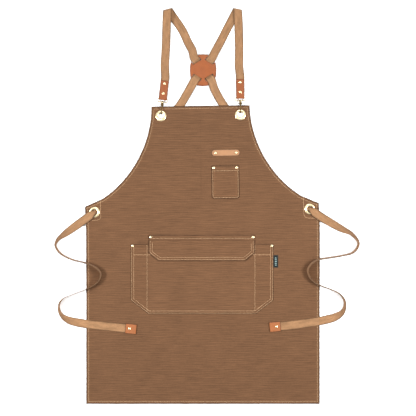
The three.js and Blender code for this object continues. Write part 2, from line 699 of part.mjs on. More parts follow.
const harness = {};
SIDES.forEach(([word, side]) => {
  const eyelet = lie(side * BIB_EYELET.x, BIB_EYELET.y);
  const end = new THREE.Group();
  end.position.set(eyelet.x, eyelet.y, HOOK_Z);
  end.rotation.z = THREE.MathUtils.degToRad(HOOK_TURN[word]);
  apron.add(end);
  addMesh(`hook_body_${word}`, hookBodyGeometry(), brassFinish(), end);
  addMesh(`hook_gate_${word}`, gateGeometry(), brassFinish(), end);
  addMesh(`hook_gate_pin_${word}`, gatePinGeometry(), oldBrassFinish(), end);
  addMesh(`strap_loop_${word}`, loopGeometry(), brassFinish(), end);
  const holes = TAB_RIVETS.map((along) => TAB_FOLD_Y + along);
  const seat = TAB_AIR + LEATHER + GAP;
  holes.forEach((y, k) => {
    const rivet = addMesh(`tab_rivet_${word}_${k + 1}`, rivetGeometry(seat, -seat), brassFinish(), end);
    rivet.position.set(0, y, 0);
  });
  const cutters = holes.map((y) => rivetHole(0, y, 0));
  addMesh(`shoulder_tab_${word}`, toGeometry(drill(toSolid(tabGeometry()), cutters)), russetFinish(), end);
  end.updateMatrixWorld(true);
  harness[word] = { end, holes };
});

// ---------------------------------------------------------------- harness webbing

/** Rows along a smooth curve through 3-D points, the band lying level; turned is its face up or down. */
function levelRows(points, turned) {
  const curve = new THREE.CatmullRomCurve3(points.map((p) => new THREE.Vector3(...p)), false, 'centripetal');
  const pieces = points.length - 1;
  const rows = [];
  const addRow = (t) => {
    const along = curve.getTangent(t);
    const left = new THREE.Vector3(-along.y, along.x, 0).multiplyScalar(turned ? -1 : 1);
    rows.push(bandRow(curve.getPoint(t), along, left, WEB_WIDTH, WEB));
  };
  for (let piece = 0; piece < pieces; piece += 1) {
    const [from, to] = [points[piece], points[piece + 1]];
    const run = Math.hypot(to[0] - from[0], to[1] - from[1]);
    const count = Math.max(1, Math.ceil(run / STRAP_STEP), Math.ceil(Math.abs(to[2] - from[2]) / STRAP_RISE));
    for (let k = 0; k < count; k += 1) {
      addRow((piece + k / count) / pieces);
    }
  }
  addRow(1);
  return rows;
}

/** Rolls the flat band round a level bar that crosses it askew, so that it leaves underneath. */
function creaseRows(start, heading, leaving, radius) {
  const axis = heading.clone().add(leaving).normalize();
  const forward = heading.clone().addScaledVector(axis, -heading.dot(axis)).normalize();
  const left = new THREE.Vector3(-heading.y, heading.x, 0);
  const [headAxis, headForward] = [heading.dot(axis), heading.dot(forward)];
  const [leftAxis, leftForward] = [left.dot(axis), left.dot(forward)];
  const up = new THREE.Vector3(0, 0, 1);
  const lead = Math.abs(leftForward) * WEB_WIDTH / 2 / headForward;
  const span = Math.PI * radius / headForward;
  const rowAt = (s) => {
    const row = { points: [], ups: [], thick: WEB };
    STRAP_COLUMNS.forEach((share) => {
      const w = share * WEB_WIDTH;
      const alongAxis = s * headAxis + w * leftAxis;
      const reach = s * headForward + w * leftForward;
      const angle = THREE.MathUtils.clamp(reach / radius, 0, Math.PI);
      const beyond = reach > 0 ? Math.min(0, Math.PI * radius - reach) : reach;
      row.points.push(start.clone()
        .addScaledVector(axis, alongAxis)
        .addScaledVector(forward, radius * Math.sin(angle) + beyond)
        .addScaledVector(up, -radius * (1 - Math.cos(angle))));
      row.ups.push(forward.clone().multiplyScalar(Math.sin(angle)).addScaledVector(up, Math.cos(angle)));
    });
    return row;
  };
  const rows = [];
  for (let k = 0; k <= CREASE_ROWS; k += 1) {
    rows.push(rowAt(-lead + (span + 2 * lead) * k / CREASE_ROWS));
  }
  const leave = headAxis * (span + lead);
  const away = headForward * lead;
  const exit = start.clone().addScaledVector(axis, leave).addScaledVector(forward, -away)
    .addScaledVector(up, -2 * radius);
  return { rows, lead, exit };
}

const slotSpot = (side, slot) => new THREE.Vector2(PATCH.x + side * slot.x, PATCH.y + slot.y);

/** Points that carry a strap through the patch: over its rim, down a slot, under, up and over again. */
function patchCrossing(side, underZ) {
  const upper = slotSpot(side, SLOT_UPPER);
  const lower = slotSpot(-side, SLOT_LOWER);
  const way = lower.clone().sub(upper).normalize();
  const at = (spot, run, z) => [spot.x + way.x * run, spot.y + way.y * run, z];
  return [
    at(upper, -OVER_RUN, OVER_PATCH_WEB), at(upper, -SLOT_RUN, OVER_PATCH_WEB - FLOOR_AIR),
    at(upper, SLOT_RUN, underZ + FLOOR_AIR), at(upper, UNDER_RUN, underZ), at(lower, -UNDER_RUN, underZ),
    at(lower, -SLOT_RUN, underZ + FLOOR_AIR), at(lower, SLOT_RUN, OVER_PATCH_WEB - FLOOR_AIR),
    at(lower, OVER_RUN, OVER_PATCH_WEB),
  ];
}

/** A point a share of the way between two others, set off sideways. */
function between(from, to, share, bow) {
  const way = to.clone().sub(from);
  const aside = new THREE.Vector2(-way.y, way.x).normalize();
  return from.clone().addScaledVector(way, share).addScaledVector(aside, bow);
}

// front and fold: in from the bib eyelet, rise above the bib's top edge, height above the floor;
// rims and below: where the strap's middle passes near the patch, in widths of the webbing;
// beside: where it passes the other bib eyelet, in from its middle and down from the bib's top edge;
// back and under: share of the way to the patch's rim or to the waist eyelet, and set-off from it
const STRAPS = {
  left: {
    side: -1,
    foldRadius: 8,
    underZ: FLOOR_WEB,
    front: [[4.7, 118, 3.6], [7, 160, 2.2], [9, 205, 6], [10.3, 238, 12.5]],
    fold: [12.3, 276],
    leaving: [0.5, -0.866],
    back: [[0.476, 7.2], [0.776, 2.2]],
    rimTop: [-1.276, 2.308],
    rimBottom: [1.324, -2.212],
    below: [2.324, -3.972],
    beside: [18.3, 50],
    under: [[0.244, -24.7], [0.518, -39.4], [0.795, -32.7]],
  },
  right: {
    side: 1,
    foldRadius: 3,
    underZ: CROSSING_WEB,
    front: [[10.9, 118, 3.6], [10.5, 160, 1.8], [11.1, 205, 2.6], [12.3, 242, 4.6]],
    fold: [14.8, 283],
    leaving: [-0.454, -0.891],
    back: [[0.464, -0.1], [0.735, 0.4]],
    rimTop: [1.484, 2.308],
    rimBottom: [-1.576, -2.212],
    below: [-2.636, -3.972],
    beside: [13.3, 44],
    under: [[0.241, 25.8], [0.517, 38.1], [0.794, 30.5]],
  },
};
const RIM_DROP = { top: 0.6, bottom: 1.2 }; // how much lower a strap is at the patch's rim
const FOLD_LEAD = 12; // level run before the fold
const BACK_RISES = [FLOOR_AIR, 1]; // after the fold
const UNDER_RISES = [0.8, FLOOR_AIR, FLOOR_AIR, FLOOR_AIR, FLOOR_AIR]; // after the patch

function strapWaypoints(strap) {
  const nearPatch = ([x, y]) => new THREE.Vector2(PATCH.x + x * WEB_WIDTH, PATCH.y + y * WEB_WIDTH);
  const eyelet = lie(-strap.side * WAIST_EYELET.x, WAIST_EYELET.y);
  const [inward, down] = strap.beside;
  const beside = new THREE.Vector2(-strap.side * (BIB_EYELET.x - inward), BODY_LENGTH - down);
  const onward = strap.under.map(([share, bow]) => between(beside, eyelet, share, bow));
  return {
    eyelet,
    under: [nearPatch(strap.below), beside, ...onward],
    rimTop: nearPatch(strap.rimTop),
    rimBottom: nearPatch(strap.rimBottom),
  };
}

Object.entries(STRAPS).forEach(([word, strap]) => {
  const { end, holes } = harness[word];
  const { eyelet, under, rimTop, rimBottom } = strapWaypoints(strap);
  const fromTab = [
    [TAB_FOLD_Y + LEATHER + TAB_TUCK, 0], [TAB_END_Y - TAB_RUN, 0], [TAB_END_Y, 0],
    [TAB_END_Y + TAB_RUN, -TAB_DROP],
  ].map(([y, z]) => new THREE.Vector3(0, y, z).applyMatrix4(end.matrixWorld).toArray());
  const fromBib = (inward, rise) => [strap.side * (BIB_EYELET.x - inward), BODY_LENGTH + rise];
  const climb = strap.front.map(([inward, rise, z]) => [...fromBib(inward, rise), z]);
  const start = new THREE.Vector3(...fromBib(...strap.fold), FLOOR_WEB + 2 * strap.foldRadius);
  const previous = climb[climb.length - 1];
  const heading = new THREE.Vector3(start.x - previous[0], start.y - previous[1], 0).normalize();
  const leaving = new THREE.Vector3(...strap.leaving, 0).normalize();
  const crease = creaseRows(start, heading, leaving, strap.foldRadius);
  const level = start.clone().addScaledVector(heading, -crease.lead - FOLD_LEAD);
  const last = start.clone().addScaledVector(heading, -crease.lead);
  const front = levelRows([...fromTab, ...climb, level.toArray(), last.toArray()], false).slice(0, -1);
  const exit = new THREE.Vector2(crease.exit.x, crease.exit.y);
  const down = strap.back.map(([share, bow], k) => (
    [...between(exit, rimTop, share, bow), FLOOR_WEB + BACK_RISES[k]]
  ));
  const toEyelet = eyelet.clone().sub(under[under.length - 1]).normalize();
  const stop = eyelet.clone().addScaledVector(toEyelet, -STRAP_END - GAP);
  const back = levelRows([
    [...exit, FLOOR_WEB], ...down,
    [...rimTop, OVER_PATCH_WEB - RIM_DROP.top],
    ...patchCrossing(strap.side, strap.underZ),
    [...rimBottom, OVER_PATCH_WEB - RIM_DROP.bottom],
    ...under.map((point, k) => [...point, FLOOR_WEB + UNDER_RISES[k]]),
    [...stop, FLOOR_WEB + FLOOR_AIR],
  ], true).slice(1);
  const band = toSolid(bandGeometry([...front, ...crease.rows, ...back]));
  const cutters = holes.map((y) => {
    const spot = new THREE.Vector3(0, y, 0).applyMatrix4(end.matrixWorld);
    return rivetHole(spot.x, spot.y, spot.z);
  });
  addMesh(`harness_strap_${word}`, toGeometry(drill(band, cutters)), webbingFinish());
});

// ---------------------------------------------------------------- free waist ties

// Each point: out and up from the waist eyelet's middle, clearance of the band's lowest edge above what
// it lies on (canvas or floor), and how far it stands on edge (0 flat, 90 upright).
const TIES = {
  left: [
    [23.8, -18.2, 1.6, 10], [54.8, -40.7, 6, 22], [83.8, -62.2, 3, 42], [106.8, -81.2, 0.8, 72],
    [113.8, -97.7, 0.4, 88], [99.8, -120.7, 0.4, 90], [61.8, -140.2, 3.6, 90], [23.8, -149.5, 0.9, 90],
    [-7.7, -164.7, 0.9, 90], [-19.2, -181.7, 0.7, 90], [-10.2, -205.7, 0.8, 90], [21.8, -225.7, 0.6, 90],
    [54.8, -238.7, 1.6, 90], [95.8, -258.2, 0.4, 90], [104.3, -279.7, 0.4, 88], [96.3, -302.7, 0.4, 76],
    [74.8, -318.2, 1.2, 42], [43.8, -326.7, 1.5, 12], [9.8, -332.2, 0.5, 0], [-35.2, -337.2, 0.6, 0],
    [-70.2, -340.7, 2, 0], [-91.2, -342.7, 3.2, 0],
  ],
  right: [
    [28.9, -20.7, 1.6, 10], [59.9, -39.7, 6, 22], [92.9, -58.7, 3, 42], [124.9, -75.7, 0.8, 70],
    [142.9, -102.2, 0.4, 88], [126.9, -127.7, 0.4, 90], [90.9, -137.7, 2, 90], [52.9, -143.7, 4.4, 90],
    [24.9, -148.7, 0.7, 90], [4.4, -160.7, 0.9, 90], [-6.6, -179.7, 0.9, 90], [-1.6, -199.7, 0.9, 90],
    [13.9, -216.2, 0.8, 90], [33.9, -226.7, 2.2, 90], [60.9, -236.7, 1.8, 90], [86.4, -249.7, 0.6, 90],
    [100.4, -267.2, 0.4, 88], [102.4, -285.2, 0.4, 82], [95.9, -303.2, 0.5, 66], [75.9, -317.7, 1, 36],
    [48.9, -326.7, 1.5, 10], [14.9, -333.7, 0.5, 0], [-30.1, -340.2, 0.6, 0], [-65.1, -344.2, 2, 0],
    [-86.1, -346.2, 3.2, 0],
  ],
};
const TIE_STEPS = 78;
const BUNCH = { width: 1.27 * EYELET_HOLE_R, thick: 3.0 }; // the webbing gathered inside the eyelet
const SPREAD = 2; // wider by this beside the eyelet's hole
const FAN = 9; // and by this past its flange
const FLANGE_AIR = { rim: 0.6, past: 0.9 };

/** Where a tie's point lies and what its lowest edge clears. */
function tieMiddle(side, eyelet, [out, rise, clearance, stand]) {
  const [x, y] = [eyelet.x + side * out, eyelet.y + rise];
  const rest = Math.abs(x) < SKIRT_HALF ? canvasTop(y) : 0;
  const angle = THREE.MathUtils.degToRad(stand);
  const half = WEB_WIDTH / 2 * Math.sin(angle) + WEB / 2 * Math.cos(angle);
  return { middle: new THREE.Vector3(x, y, rest + clearance + half), angle };
}

function tieRows(side, points) {
  const eyelet = lie(side * WAIST_EYELET.x, WAIST_EYELET.y);
  const { under } = strapWaypoints(side < 0 ? STRAPS.right : STRAPS.left);
  const inward = eyelet.clone().sub(under[under.length - 1]).normalize();
  const first = tieMiddle(side, eyelet, points[0]).middle;
  const outward = new THREE.Vector2(first.x, first.y).sub(eyelet).normalize();
  const flangeTop = canvasTop(eyelet.y) + GAP + EYELET_RIM;
  const inside = (run, z) => [eyelet.x - inward.x * run, eyelet.y - inward.y * run, z];
  const outside = (run, z) => [eyelet.x + outward.x * run, eyelet.y + outward.y * run, z];
  const half = BUNCH.thick / 2;
  const through = BUNCH.width + SPREAD;
  const rise = [
    [inside(STRAP_END, FLOOR_WEB), WEB_WIDTH, WEB],
    [inside(0.73 * EYELET_HOLE_R, FLOOR_WEB + 2 * FLOOR_AIR), through, WEB],
    [outside(-GAP, LIFT + 2 * GAP), BUNCH.width, BUNCH.thick],
    [outside(0.68 * EYELET_HOLE_R, flangeTop + half + FLANGE_AIR.rim), through, BUNCH.thick],
    [outside(EYELET_FLANGE_R + GAP, flangeTop + half + FLANGE_AIR.past), BUNCH.width + FAN, WEB],
  ];
  const middles = rise.map(([at]) => new THREE.Vector3(...at));
  const sizes = rise.map(([, width, thick]) => new THREE.Vector3(width, thick, 0));
  points.forEach((point) => {
    const { middle, angle } = tieMiddle(side, eyelet, point);
    middles.push(middle);
    sizes.push(new THREE.Vector3(WEB_WIDTH, WEB, angle));
  });
  const path = new THREE.CatmullRomCurve3(middles, false, 'centripetal');
  const size = new THREE.CatmullRomCurve3(sizes, false, 'catmullrom', 0);
  const rows = [];
  for (let k = 0; k <= TIE_STEPS; k += 1) {
    const t = path.getUtoTmapping(k / TIE_STEPS);
    const along = path.getTangent(t);
    const section = size.getPoint(t);
    const across = new THREE.Vector3(-along.y, along.x, 0).normalize().multiplyScalar(Math.cos(section.z));
    across.z = side * Math.sin(section.z);
    rows.push(bandRow(path.getPoint(t), along, across, section.x, section.y, TIE_COLUMNS));
  }
  return { rows, last: path.getPoint(1), heading: path.getTangent(1).setZ(0).normalize() };
}

/** The leather end piece of a tie: two leaves joined round the webbing's end. */
function tipGeometry() {
  const air = WEB / 2 + GAP;
  const profile = [
    [0, air], [TIP.length - TIP.leather, air], [TIP.length - TIP.leather, -air], [0, -air],
    [0, -air - TIP.leather], [TIP.length, -air - TIP.leather], [TIP.length, air + TIP.leather],
    [0, air + TIP.leather],
  ].map(([x, z]) => new THREE.Vector2(x, z));
  const geometry = new THREE.ExtrudeGeometry(new THREE.Shape(profile), {
    depth: TIP.width, bevelEnabled: false, steps: 1,
  });
  geometry.rotateX(Math.PI / 2);
  geometry.translate(0, TIP.width / 2, 0);
  return geometry;
}

SIDES.forEach(([word, side]) => {
  const { rows, last, heading } = tieRows(side, TIES[word]);
  const across = new THREE.Vector3(-heading.y, heading.x, 0);
  [TIP.tuck, TIP.length - TIP.leather - TIP.tuck].forEach((run) => {
    const middle = last.clone().addScaledVector(heading, run);
    rows.push(bandRow(middle, heading, across, WEB_WIDTH, WEB, TIE_COLUMNS));
  });
  const tip = new THREE.Group();
  tip.position.copy(last);
  tip.rotation.z = Math.atan2(heading.y, heading.x);
  apron.add(tip);
  const seat = WEB / 2 + GAP + TIP.leather + GAP;
  const rivet = addMesh(`tie_rivet_${word}`, rivetGeometry(seat, -seat), brassFinish(), tip);
  const rivetRun = TIP.length - TIP.rivet;
  rivet.position.set(rivetRun, 0, 0);
  const leather = drill(toSolid(tipGeometry()), [rivetHole(rivetRun, 0, 0)]);
  addMesh(`tie_tip_${word}`, toGeometry(leather), russetFinish(), tip);
  tip.updateMatrixWorld(true);
  const spot = new THREE.Vector3(rivetRun, 0, 0).applyMatrix4(tip.matrixWorld);
  const band = toSolid(bandGeometry(rows));
  addMesh(`waist_tie_${word}`, toGeometry(drill(band, [rivetHole(spot.x, spot.y, spot.z)])), webbingFinish());
});

// ---------------------------------------------------------------- origin

const FREE_TIE_PIECES = ['waist_tie', 'tie_tip', 'tie_rivet'];
apron.updateMatrixWorld(true);
const body = new THREE.Box3();
Object.entries(placed).forEach(([name, mesh]) => {
  if (!FREE_TIE_PIECES.some((start) => name.startsWith(start))) {
    body.expandByObject(mesh, true);
  }
});
apron.position.set(-(body.min.x + body.max.x) / 2, -(body.min.y + body.max.y) / 2, -body.min.z);
apron.updateMatrixWorld(true);

export default apron;
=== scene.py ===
# %% [markdown]
# # A butcher apron, laid out flat
# A brown canvas apron lies face up on a white floor: body, pouch with a flap, chest pocket, webbing
# harness on snap hooks, a leather patch where the straps cross, and two loose waist ties.
# The stiff frame of the apron is already made to size elsewhere, so it is loaded first, and every
# visible piece is then worked out around it in the same place and at the same size.

import bmesh
import bpy
import numpy as np
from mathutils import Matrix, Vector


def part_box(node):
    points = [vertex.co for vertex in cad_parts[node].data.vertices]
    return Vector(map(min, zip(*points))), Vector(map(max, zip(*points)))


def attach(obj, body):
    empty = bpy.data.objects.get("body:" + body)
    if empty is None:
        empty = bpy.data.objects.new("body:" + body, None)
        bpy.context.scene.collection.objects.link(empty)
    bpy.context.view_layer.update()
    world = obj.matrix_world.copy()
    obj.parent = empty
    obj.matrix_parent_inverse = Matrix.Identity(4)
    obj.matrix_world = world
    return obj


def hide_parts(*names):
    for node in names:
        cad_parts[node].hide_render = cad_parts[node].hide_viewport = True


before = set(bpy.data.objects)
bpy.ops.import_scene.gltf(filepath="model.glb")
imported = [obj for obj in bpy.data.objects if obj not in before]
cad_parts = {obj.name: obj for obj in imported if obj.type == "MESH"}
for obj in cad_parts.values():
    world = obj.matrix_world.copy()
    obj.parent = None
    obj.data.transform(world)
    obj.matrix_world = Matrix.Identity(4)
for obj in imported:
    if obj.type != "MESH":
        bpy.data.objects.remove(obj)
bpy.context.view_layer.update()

# %% [markdown]
# ## Camera
# The apron is seen from straight above, as on a copy stand. A long lens keeps its sides parallel,
# and the height follows from the width of floor that has to be in view.

# %% Camera
VIEW_WIDTH = 1.2272
VIEW_MIDDLE = (0.0162, -0.0058)
LENS = 85.0
SENSOR = 36.0
camera_data = bpy.data.cameras.new("copy_stand_camera")
camera_data.lens = LENS
camera_data.sensor_width = SENSOR
camera = bpy.data.objects.new("copy_stand_camera", camera_data)
camera.location = (*VIEW_MIDDLE, VIEW_WIDTH * LENS / SENSOR + 0.006)
bpy.context.scene.collection.objects.link(camera)
bpy.context.scene.camera = camera
print("camera height:", round(camera.location.z, 3))

# %% [markdown]
# ## Measures of the pattern
# The pattern is drawn in millimetres about the middle of the hem. Two small functions say how it
# lies: `lift` raises the cloth from the waist up, because webbing and hooks lie under it, and `lie`
# turns the upper body a little, because it was not laid quite straight.

# %% Pattern sizes
GAP = 0.3
SKIRT_HALF = 345.0
BODY_LENGTH = 880.0
BIB_HALF = 145.0
WAIST_Y = 588.0
ARMHOLE_END = (292.0, 611.0)
CANVAS = 1.0
LIFT = 5.4
WEB_WIDTH = 25.0
WEB = 1.6
BIB_EYELET = (117.3, 852.4)
WAIST_EYELET = (317.7, 571.5)
TAG = {"x": 214.8, "y": 421.6, "width": 14.0, "height": 36.6}
SIDES = (("left", -1), ("right", 1))


def smooth(value, low, high):
    """Nought below low, one above high, and an S-shaped rise between."""
    share = np.clip((np.asarray(value, float) - low) / (high - low), 0, 1)
    return share * share * (3 - 2 * share)


def lift(y):
    """Height of the cloth's underside: nought on the skirt, rising smoothly to the waist."""
    return LIFT * smooth(y, 300, 545)


def lie(x, y):
    """The flat pattern point turned about (0, 400) by an angle that grows to 0.86 degrees at the
    waist."""
    turn = np.radians(0.86) * smooth(y, 500, 575)
    rise = np.asarray(y, float) - 400
    return x * np.cos(turn) - rise * np.sin(turn), 400 + x * np.sin(turn) + rise * np.cos(turn)


eyelet_low, eyelet_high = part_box("bib_eyelet_left")
panel_low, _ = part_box("apron_panel")
eyelet_x, _ = lie(-BIB_EYELET[0], BIB_EYELET[1])
SHIFT = np.array([
    500 * (eyelet_low.x + eyelet_high.x) - eyelet_x, 1000 * panel_low.y, 1000 * panel_low.z,
])
print("pattern to frame, in millimetres:", SHIFT.round(3))

# %% [markdown]
# ## Turning arrays into pieces
# Each piece is worked out as whole arrays of points. One function puts them into a mesh, checks
# with the enclosed volume that the faces look outwards, and lets the piece ride on its body of the
# frame.

# %% Mesh helpers
def signed_volume(points, faces):
    """A sixth of the sum of the triple products of each face's fan of triangles."""
    total = 0.0
    for corner in range(1, faces.shape[1] - 1):
        a, b, c = points[faces[:, 0]], points[faces[:, corner]], points[faces[:, corner + 1]]
        total += np.einsum("ij,ij->i", a, np.cross(b, c)).sum() / 6
    return total


def add_piece(name, points, faces, finish, body, stands_for=(), lay=None, edge=None, caps=()):
    """Builds a mesh from points in pattern millimetres, with its way across and along the cloth (lay)
    and its nearness to an edge (edge) kept as attributes for the materials."""
    points = (np.asarray(points, float).reshape(-1, 3) + SHIFT) / 1000
    if signed_volume(points - points.mean(0), faces) < 0:
        faces = faces[:, ::-1]
        caps = [cap[::-1] for cap in caps]
    mesh = bpy.data.meshes.new(name)
    mesh.from_pydata(points.tolist(), [], faces.tolist() + [list(map(int, cap)) for cap in caps])
    mesh.polygons.foreach_set("use_smooth", np.ones(len(mesh.polygons), bool))
    if lay is not None:
        values = np.asarray(lay, float).reshape(-1, 2) / 1000
        held = mesh.attributes.new("lay", "FLOAT_VECTOR", "POINT")
        held.data.foreach_set("vector", np.column_stack([values, 0 * values[:, 0]]).ravel())
    if edge is not None:
        held = mesh.attributes.new("edge", "FLOAT", "POINT")
        held.data.foreach_set("value", np.asarray(edge, np.float32).ravel())
    mesh.materials.append(finish)
    mesh.update()
    piece = bpy.data.objects.new(name, mesh)
    bpy.context.scene.collection.objects.link(piece)
    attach(piece, body)
    if stands_for:
        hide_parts(*stands_for)
    print(f"{name}: {len(mesh.vertices)} points, {len(mesh.polygons)} faces")
    return piece


def join_parts(*parts):
    """Puts several (points, faces) pairs of quads after one another."""
    points, faces, count = [], [], 0
    for some_points, some_faces in parts:
        some_points = some_points.reshape(-1, 3)
        if signed_volume(some_points - some_points.mean(0), some_faces) < 0:
            some_faces = some_faces[:, ::-1]
        points.append(some_points)
        faces.append(some_faces + count)
        count += len(some_points)
    return np.concatenate(points), np.concatenate(faces)


def grid_faces(rows, columns, closed_rows=False, closed_columns=False):
    """Quads between neighbours on a grid of points, wrapped round where it is closed."""
    r = np.arange(rows if closed_rows else rows - 1)
    c = np.arange(columns if closed_columns else columns - 1)
    r, c = np.meshgrid(r, c, indexing="ij")
    down, right = (r + 1) % rows, (c + 1) % columns
    quads = np.stack([r * columns + c, r * columns + right, down * columns + right,
        down * columns + c], -1)
    return quads.reshape(-1, 4)

# %% [markdown]
# ## Finishes
# Every finish is made of a few small patterns added to one brightness: threads, slubs, blotches,
# wear. `put` adds a node and fills its inputs, so a material reads like a recipe.

# %% Node helpers
def put(tree, kind, inputs=None, **settings):
    """Adds a node; an input that is another node's output is linked, and anything else is a value.
    Adds a node; an input that is another node's output is linked, and anything else is a value."""
    made = tree.nodes.new(kind)
    for key, value in settings.items():
        setattr(made, key, value)
    for key, value in (inputs or {}).items():
        if isinstance(value, bpy.types.NodeSocket):
            tree.links.new(value, made.inputs[key])
        else:
            made.inputs[key].default_value = value
    return made


def calc(tree, operation, first, second=0.5, third=0.5):
    return put(tree, "ShaderNodeMath", {0: first, 1: second, 2: third},
        operation=operation).outputs[0]


def linear(red, green, blue):
    """Screen values from 0 to 255 as the linear numbers that a shader mixes."""
    share = np.array([red, green, blue]) / 255
    low = share / 12.92
    return np.where(share <= 0.04045, low, ((share + 0.055) / 1.055) ** 2.4)


LIGHT_LEVEL = 1.55


def new_finish(name, roughness, metallic=0.0, sheen=0.0, specular=0.12):
    material = bpy.data.materials.new(name)
    material.use_nodes = True
    tree = material.node_tree
    surface = tree.nodes["Principled BSDF"]
    surface.inputs["Roughness"].default_value = roughness
    surface.inputs["Metallic"].default_value = metallic
    surface.inputs["Sheen Weight"].default_value = sheen
    surface.inputs["Sheen Roughness"].default_value = 0.5
    surface.inputs["Specular IOR Level"].default_value = specular
    return material, tree, surface


def stretched_noise(tree, where, stretch, detail=3.0, roughness=0.55):
    """Noise on a place vector multiplied along each axis, so that its spots become streaks."""
    placed = put(tree, "ShaderNodeMapping", {"Vector": where, "Scale": stretch})
    made = put(tree, "ShaderNodeTexNoise", {
        "Vector": placed.outputs[0], "Scale": 1.0, "Detail": detail, "Roughness": roughness,
    })
    return made.outputs["Fac"]


def threads(tree, where, direction, pitch, distortion=1.0):
    """Parallel ridges a pitch apart, slightly wavering as spun yarn does."""
    made = put(tree, "ShaderNodeTexWave", {
        "Vector": where, "Scale": 2 * np.pi / (20 * pitch), "Distortion": distortion,
        "Detail": 2.0, "Detail Scale": 0.35,
    }, bands_direction=direction)
    return made.outputs["Fac"]


def paint(tree, surface, colour, parts, base=1.0):
    """Multiplies the colour by base plus each share times its pattern's distance from a half."""
    total = None
    for share, pattern in parts:
        swing = calc(tree, "MULTIPLY", calc(tree, "SUBTRACT", pattern, 0.5), share)
        total = calc(tree, "ADD", base if total is None else total, swing)
    scaled = put(tree, "ShaderNodeVectorMath", {0: tuple(colour), "Scale": total},
        operation="SCALE")
    tree.links.new(scaled.outputs[0], surface.inputs["Base Color"])


def emboss(tree, surface, height, distance, strength=1.0):
    bump = put(tree, "ShaderNodeBump",
        {"Height": height, "Distance": distance, "Strength": strength})
    tree.links.new(bump.outputs[0], surface.inputs["Normal"])


def edge_of(tree):
    return put(tree, "ShaderNodeAttribute", attribute_name="edge").outputs["Fac"]

# %% [markdown]
# ### Canvas
# Real duck canvas has a thick weft that shows as fine ribs across the cloth. The pattern reads the place
# in space, because the cloth lies flat and its threads run along X and Y. Slubs are noise drawn out
# along the weft. The very edge of each piece and its stitch grooves are darkened as painted shade, and
# the hem is made paler on the line where its folded layer ends.

# %% Canvas finish
CANVAS_COLOUR = linear(110, 78, 54) / LIGHT_LEVEL
WEFT_PITCH = 0.0017
WARP_PITCH = 0.0011
RIB_PITCH = 0.0068


def canvas_finish(name, shade=1.0):
    material, tree, surface = new_finish(name, 0.9, sheen=0.04)
    where = put(tree, "ShaderNodeTexCoord").outputs["Object"]
    weft = threads(tree, where, "Y", WEFT_PITCH, 1.6)
    warp = threads(tree, where, "X", WARP_PITCH, 1.2)
    ribs = threads(tree, where, "Y", RIB_PITCH, 5.0)
    slubs = stretched_noise(tree, where, (20, 380, 20), 4.0, 0.65)
    specks = stretched_noise(tree, where, (260, 380, 260), 2.0, 0.6)
    blotches = stretched_noise(tree, where, (9, 9, 9), 4.0)
    edge = edge_of(tree)
    ridge = calc(tree, "ADD", calc(tree, "MULTIPLY", weft, 0.65),
        calc(tree, "MULTIPLY", warp, 0.35))
    # The edge attribute darkens the cut edge and the stitch grooves as painted shade. It also lightens
    # the hem along the line where its folded layer ends.
    paint(tree, surface, CANVAS_COLOUR * shade, [
        (0.16, ridge), (0.16, ribs), (1.1, slubs), (0.4, specks), (0.25, blotches), (-0.75, edge),
    ], 0.65)
    height = calc(tree, "ADD", ridge, calc(tree, "MULTIPLY", slubs, 0.8))
    emboss(tree, surface, height, 0.00026, 0.9)
    return material


body_canvas = canvas_finish("body_canvas")
pocket_canvas = canvas_finish("pocket_canvas", 1.04)
print("canvas:", CANVAS_COLOUR.round(3))

# %% [markdown]
# ### Webbing, thread and label
# Webbing bends and turns over, so its pattern follows the piece's own measures across and along,
# kept in the `lay` attribute. A herringbone comes from folding the distance across about the
# middle.

# %% Webbing, thread and label finishes
WEBBING_COLOUR = linear(168, 127, 91) / LIGHT_LEVEL
HALF_BAND, HERRINGBONE = 0.0125, 0.0042  # metres: half the band's width, one arm of the twill
TWILL_PITCH, CORD_PITCH = 0.0016, 0.0014
SELVEDGE = (0.0092, 0.0124)  # metres from the middle: where it begins, and where it is full


def webbing_finish(name, shade):
    material, tree, surface = new_finish(name, 0.86, sheen=0.04)
    lay = put(tree, "ShaderNodeAttribute", attribute_name="lay").outputs["Vector"]
    axes = put(tree, "ShaderNodeSeparateXYZ", {0: lay})
    across, along = axes.outputs[0], axes.outputs[1]
    folded = calc(tree, "PINGPONG", calc(tree, "ADD", across, HALF_BAND), HERRINGBONE)
    slanted = calc(tree, "ADD", along, folded)
    twill_place = put(tree, "ShaderNodeCombineXYZ", {0: slanted, 1: across, 2: 0.0})
    twill = threads(tree, twill_place.outputs[0], "X", TWILL_PITCH, 0.4)
    cords = threads(tree, lay, "X", CORD_PITCH, 0.3)
    rough = stretched_noise(tree, lay, (900, 120, 1), 3.0)
    cloudy = stretched_noise(tree, lay, (110, 26, 1), 4.0)
    selvedge = put(tree, "ShaderNodeMapRange", {
        "Value": calc(tree, "ABSOLUTE", across, 0.0),
        "From Min": SELVEDGE[0], "From Max": SELVEDGE[1], "To Min": 0.0, "To Max": 1.0,
    }).outputs[0]
    weave = calc(tree, "ADD", calc(tree, "MULTIPLY", twill, 0.7),
        calc(tree, "MULTIPLY", cords, 0.3))
    paint(tree, surface, WEBBING_COLOUR * shade, [
        (0.3, weave), (0.9, rough), (1.2, cloudy), (-0.7, selvedge),
    ], 0.85)
    emboss(tree, surface, weave, 0.00025, 0.8)
    return material


def thread_finish():
    material, tree, surface = new_finish("tan_thread", 0.6, sheen=0.1)
    where = put(tree, "ShaderNodeTexCoord").outputs["Object"]
    plies = stretched_noise(tree, where, (2400, 2400, 900), 2.0)
    patches = stretched_noise(tree, where, (60, 60, 60), 2.0)
    paint(tree, surface, linear(222, 184, 142) / LIGHT_LEVEL * 1.25, [(0.3, plies), (0.4, patches)])
    emboss(tree, surface, plies, 0.0001, 0.6)
    return material


BAR_PITCH, BAR_AREA = 0.0052, (0.0024, 0.0125)  # metres: the bars and half their field


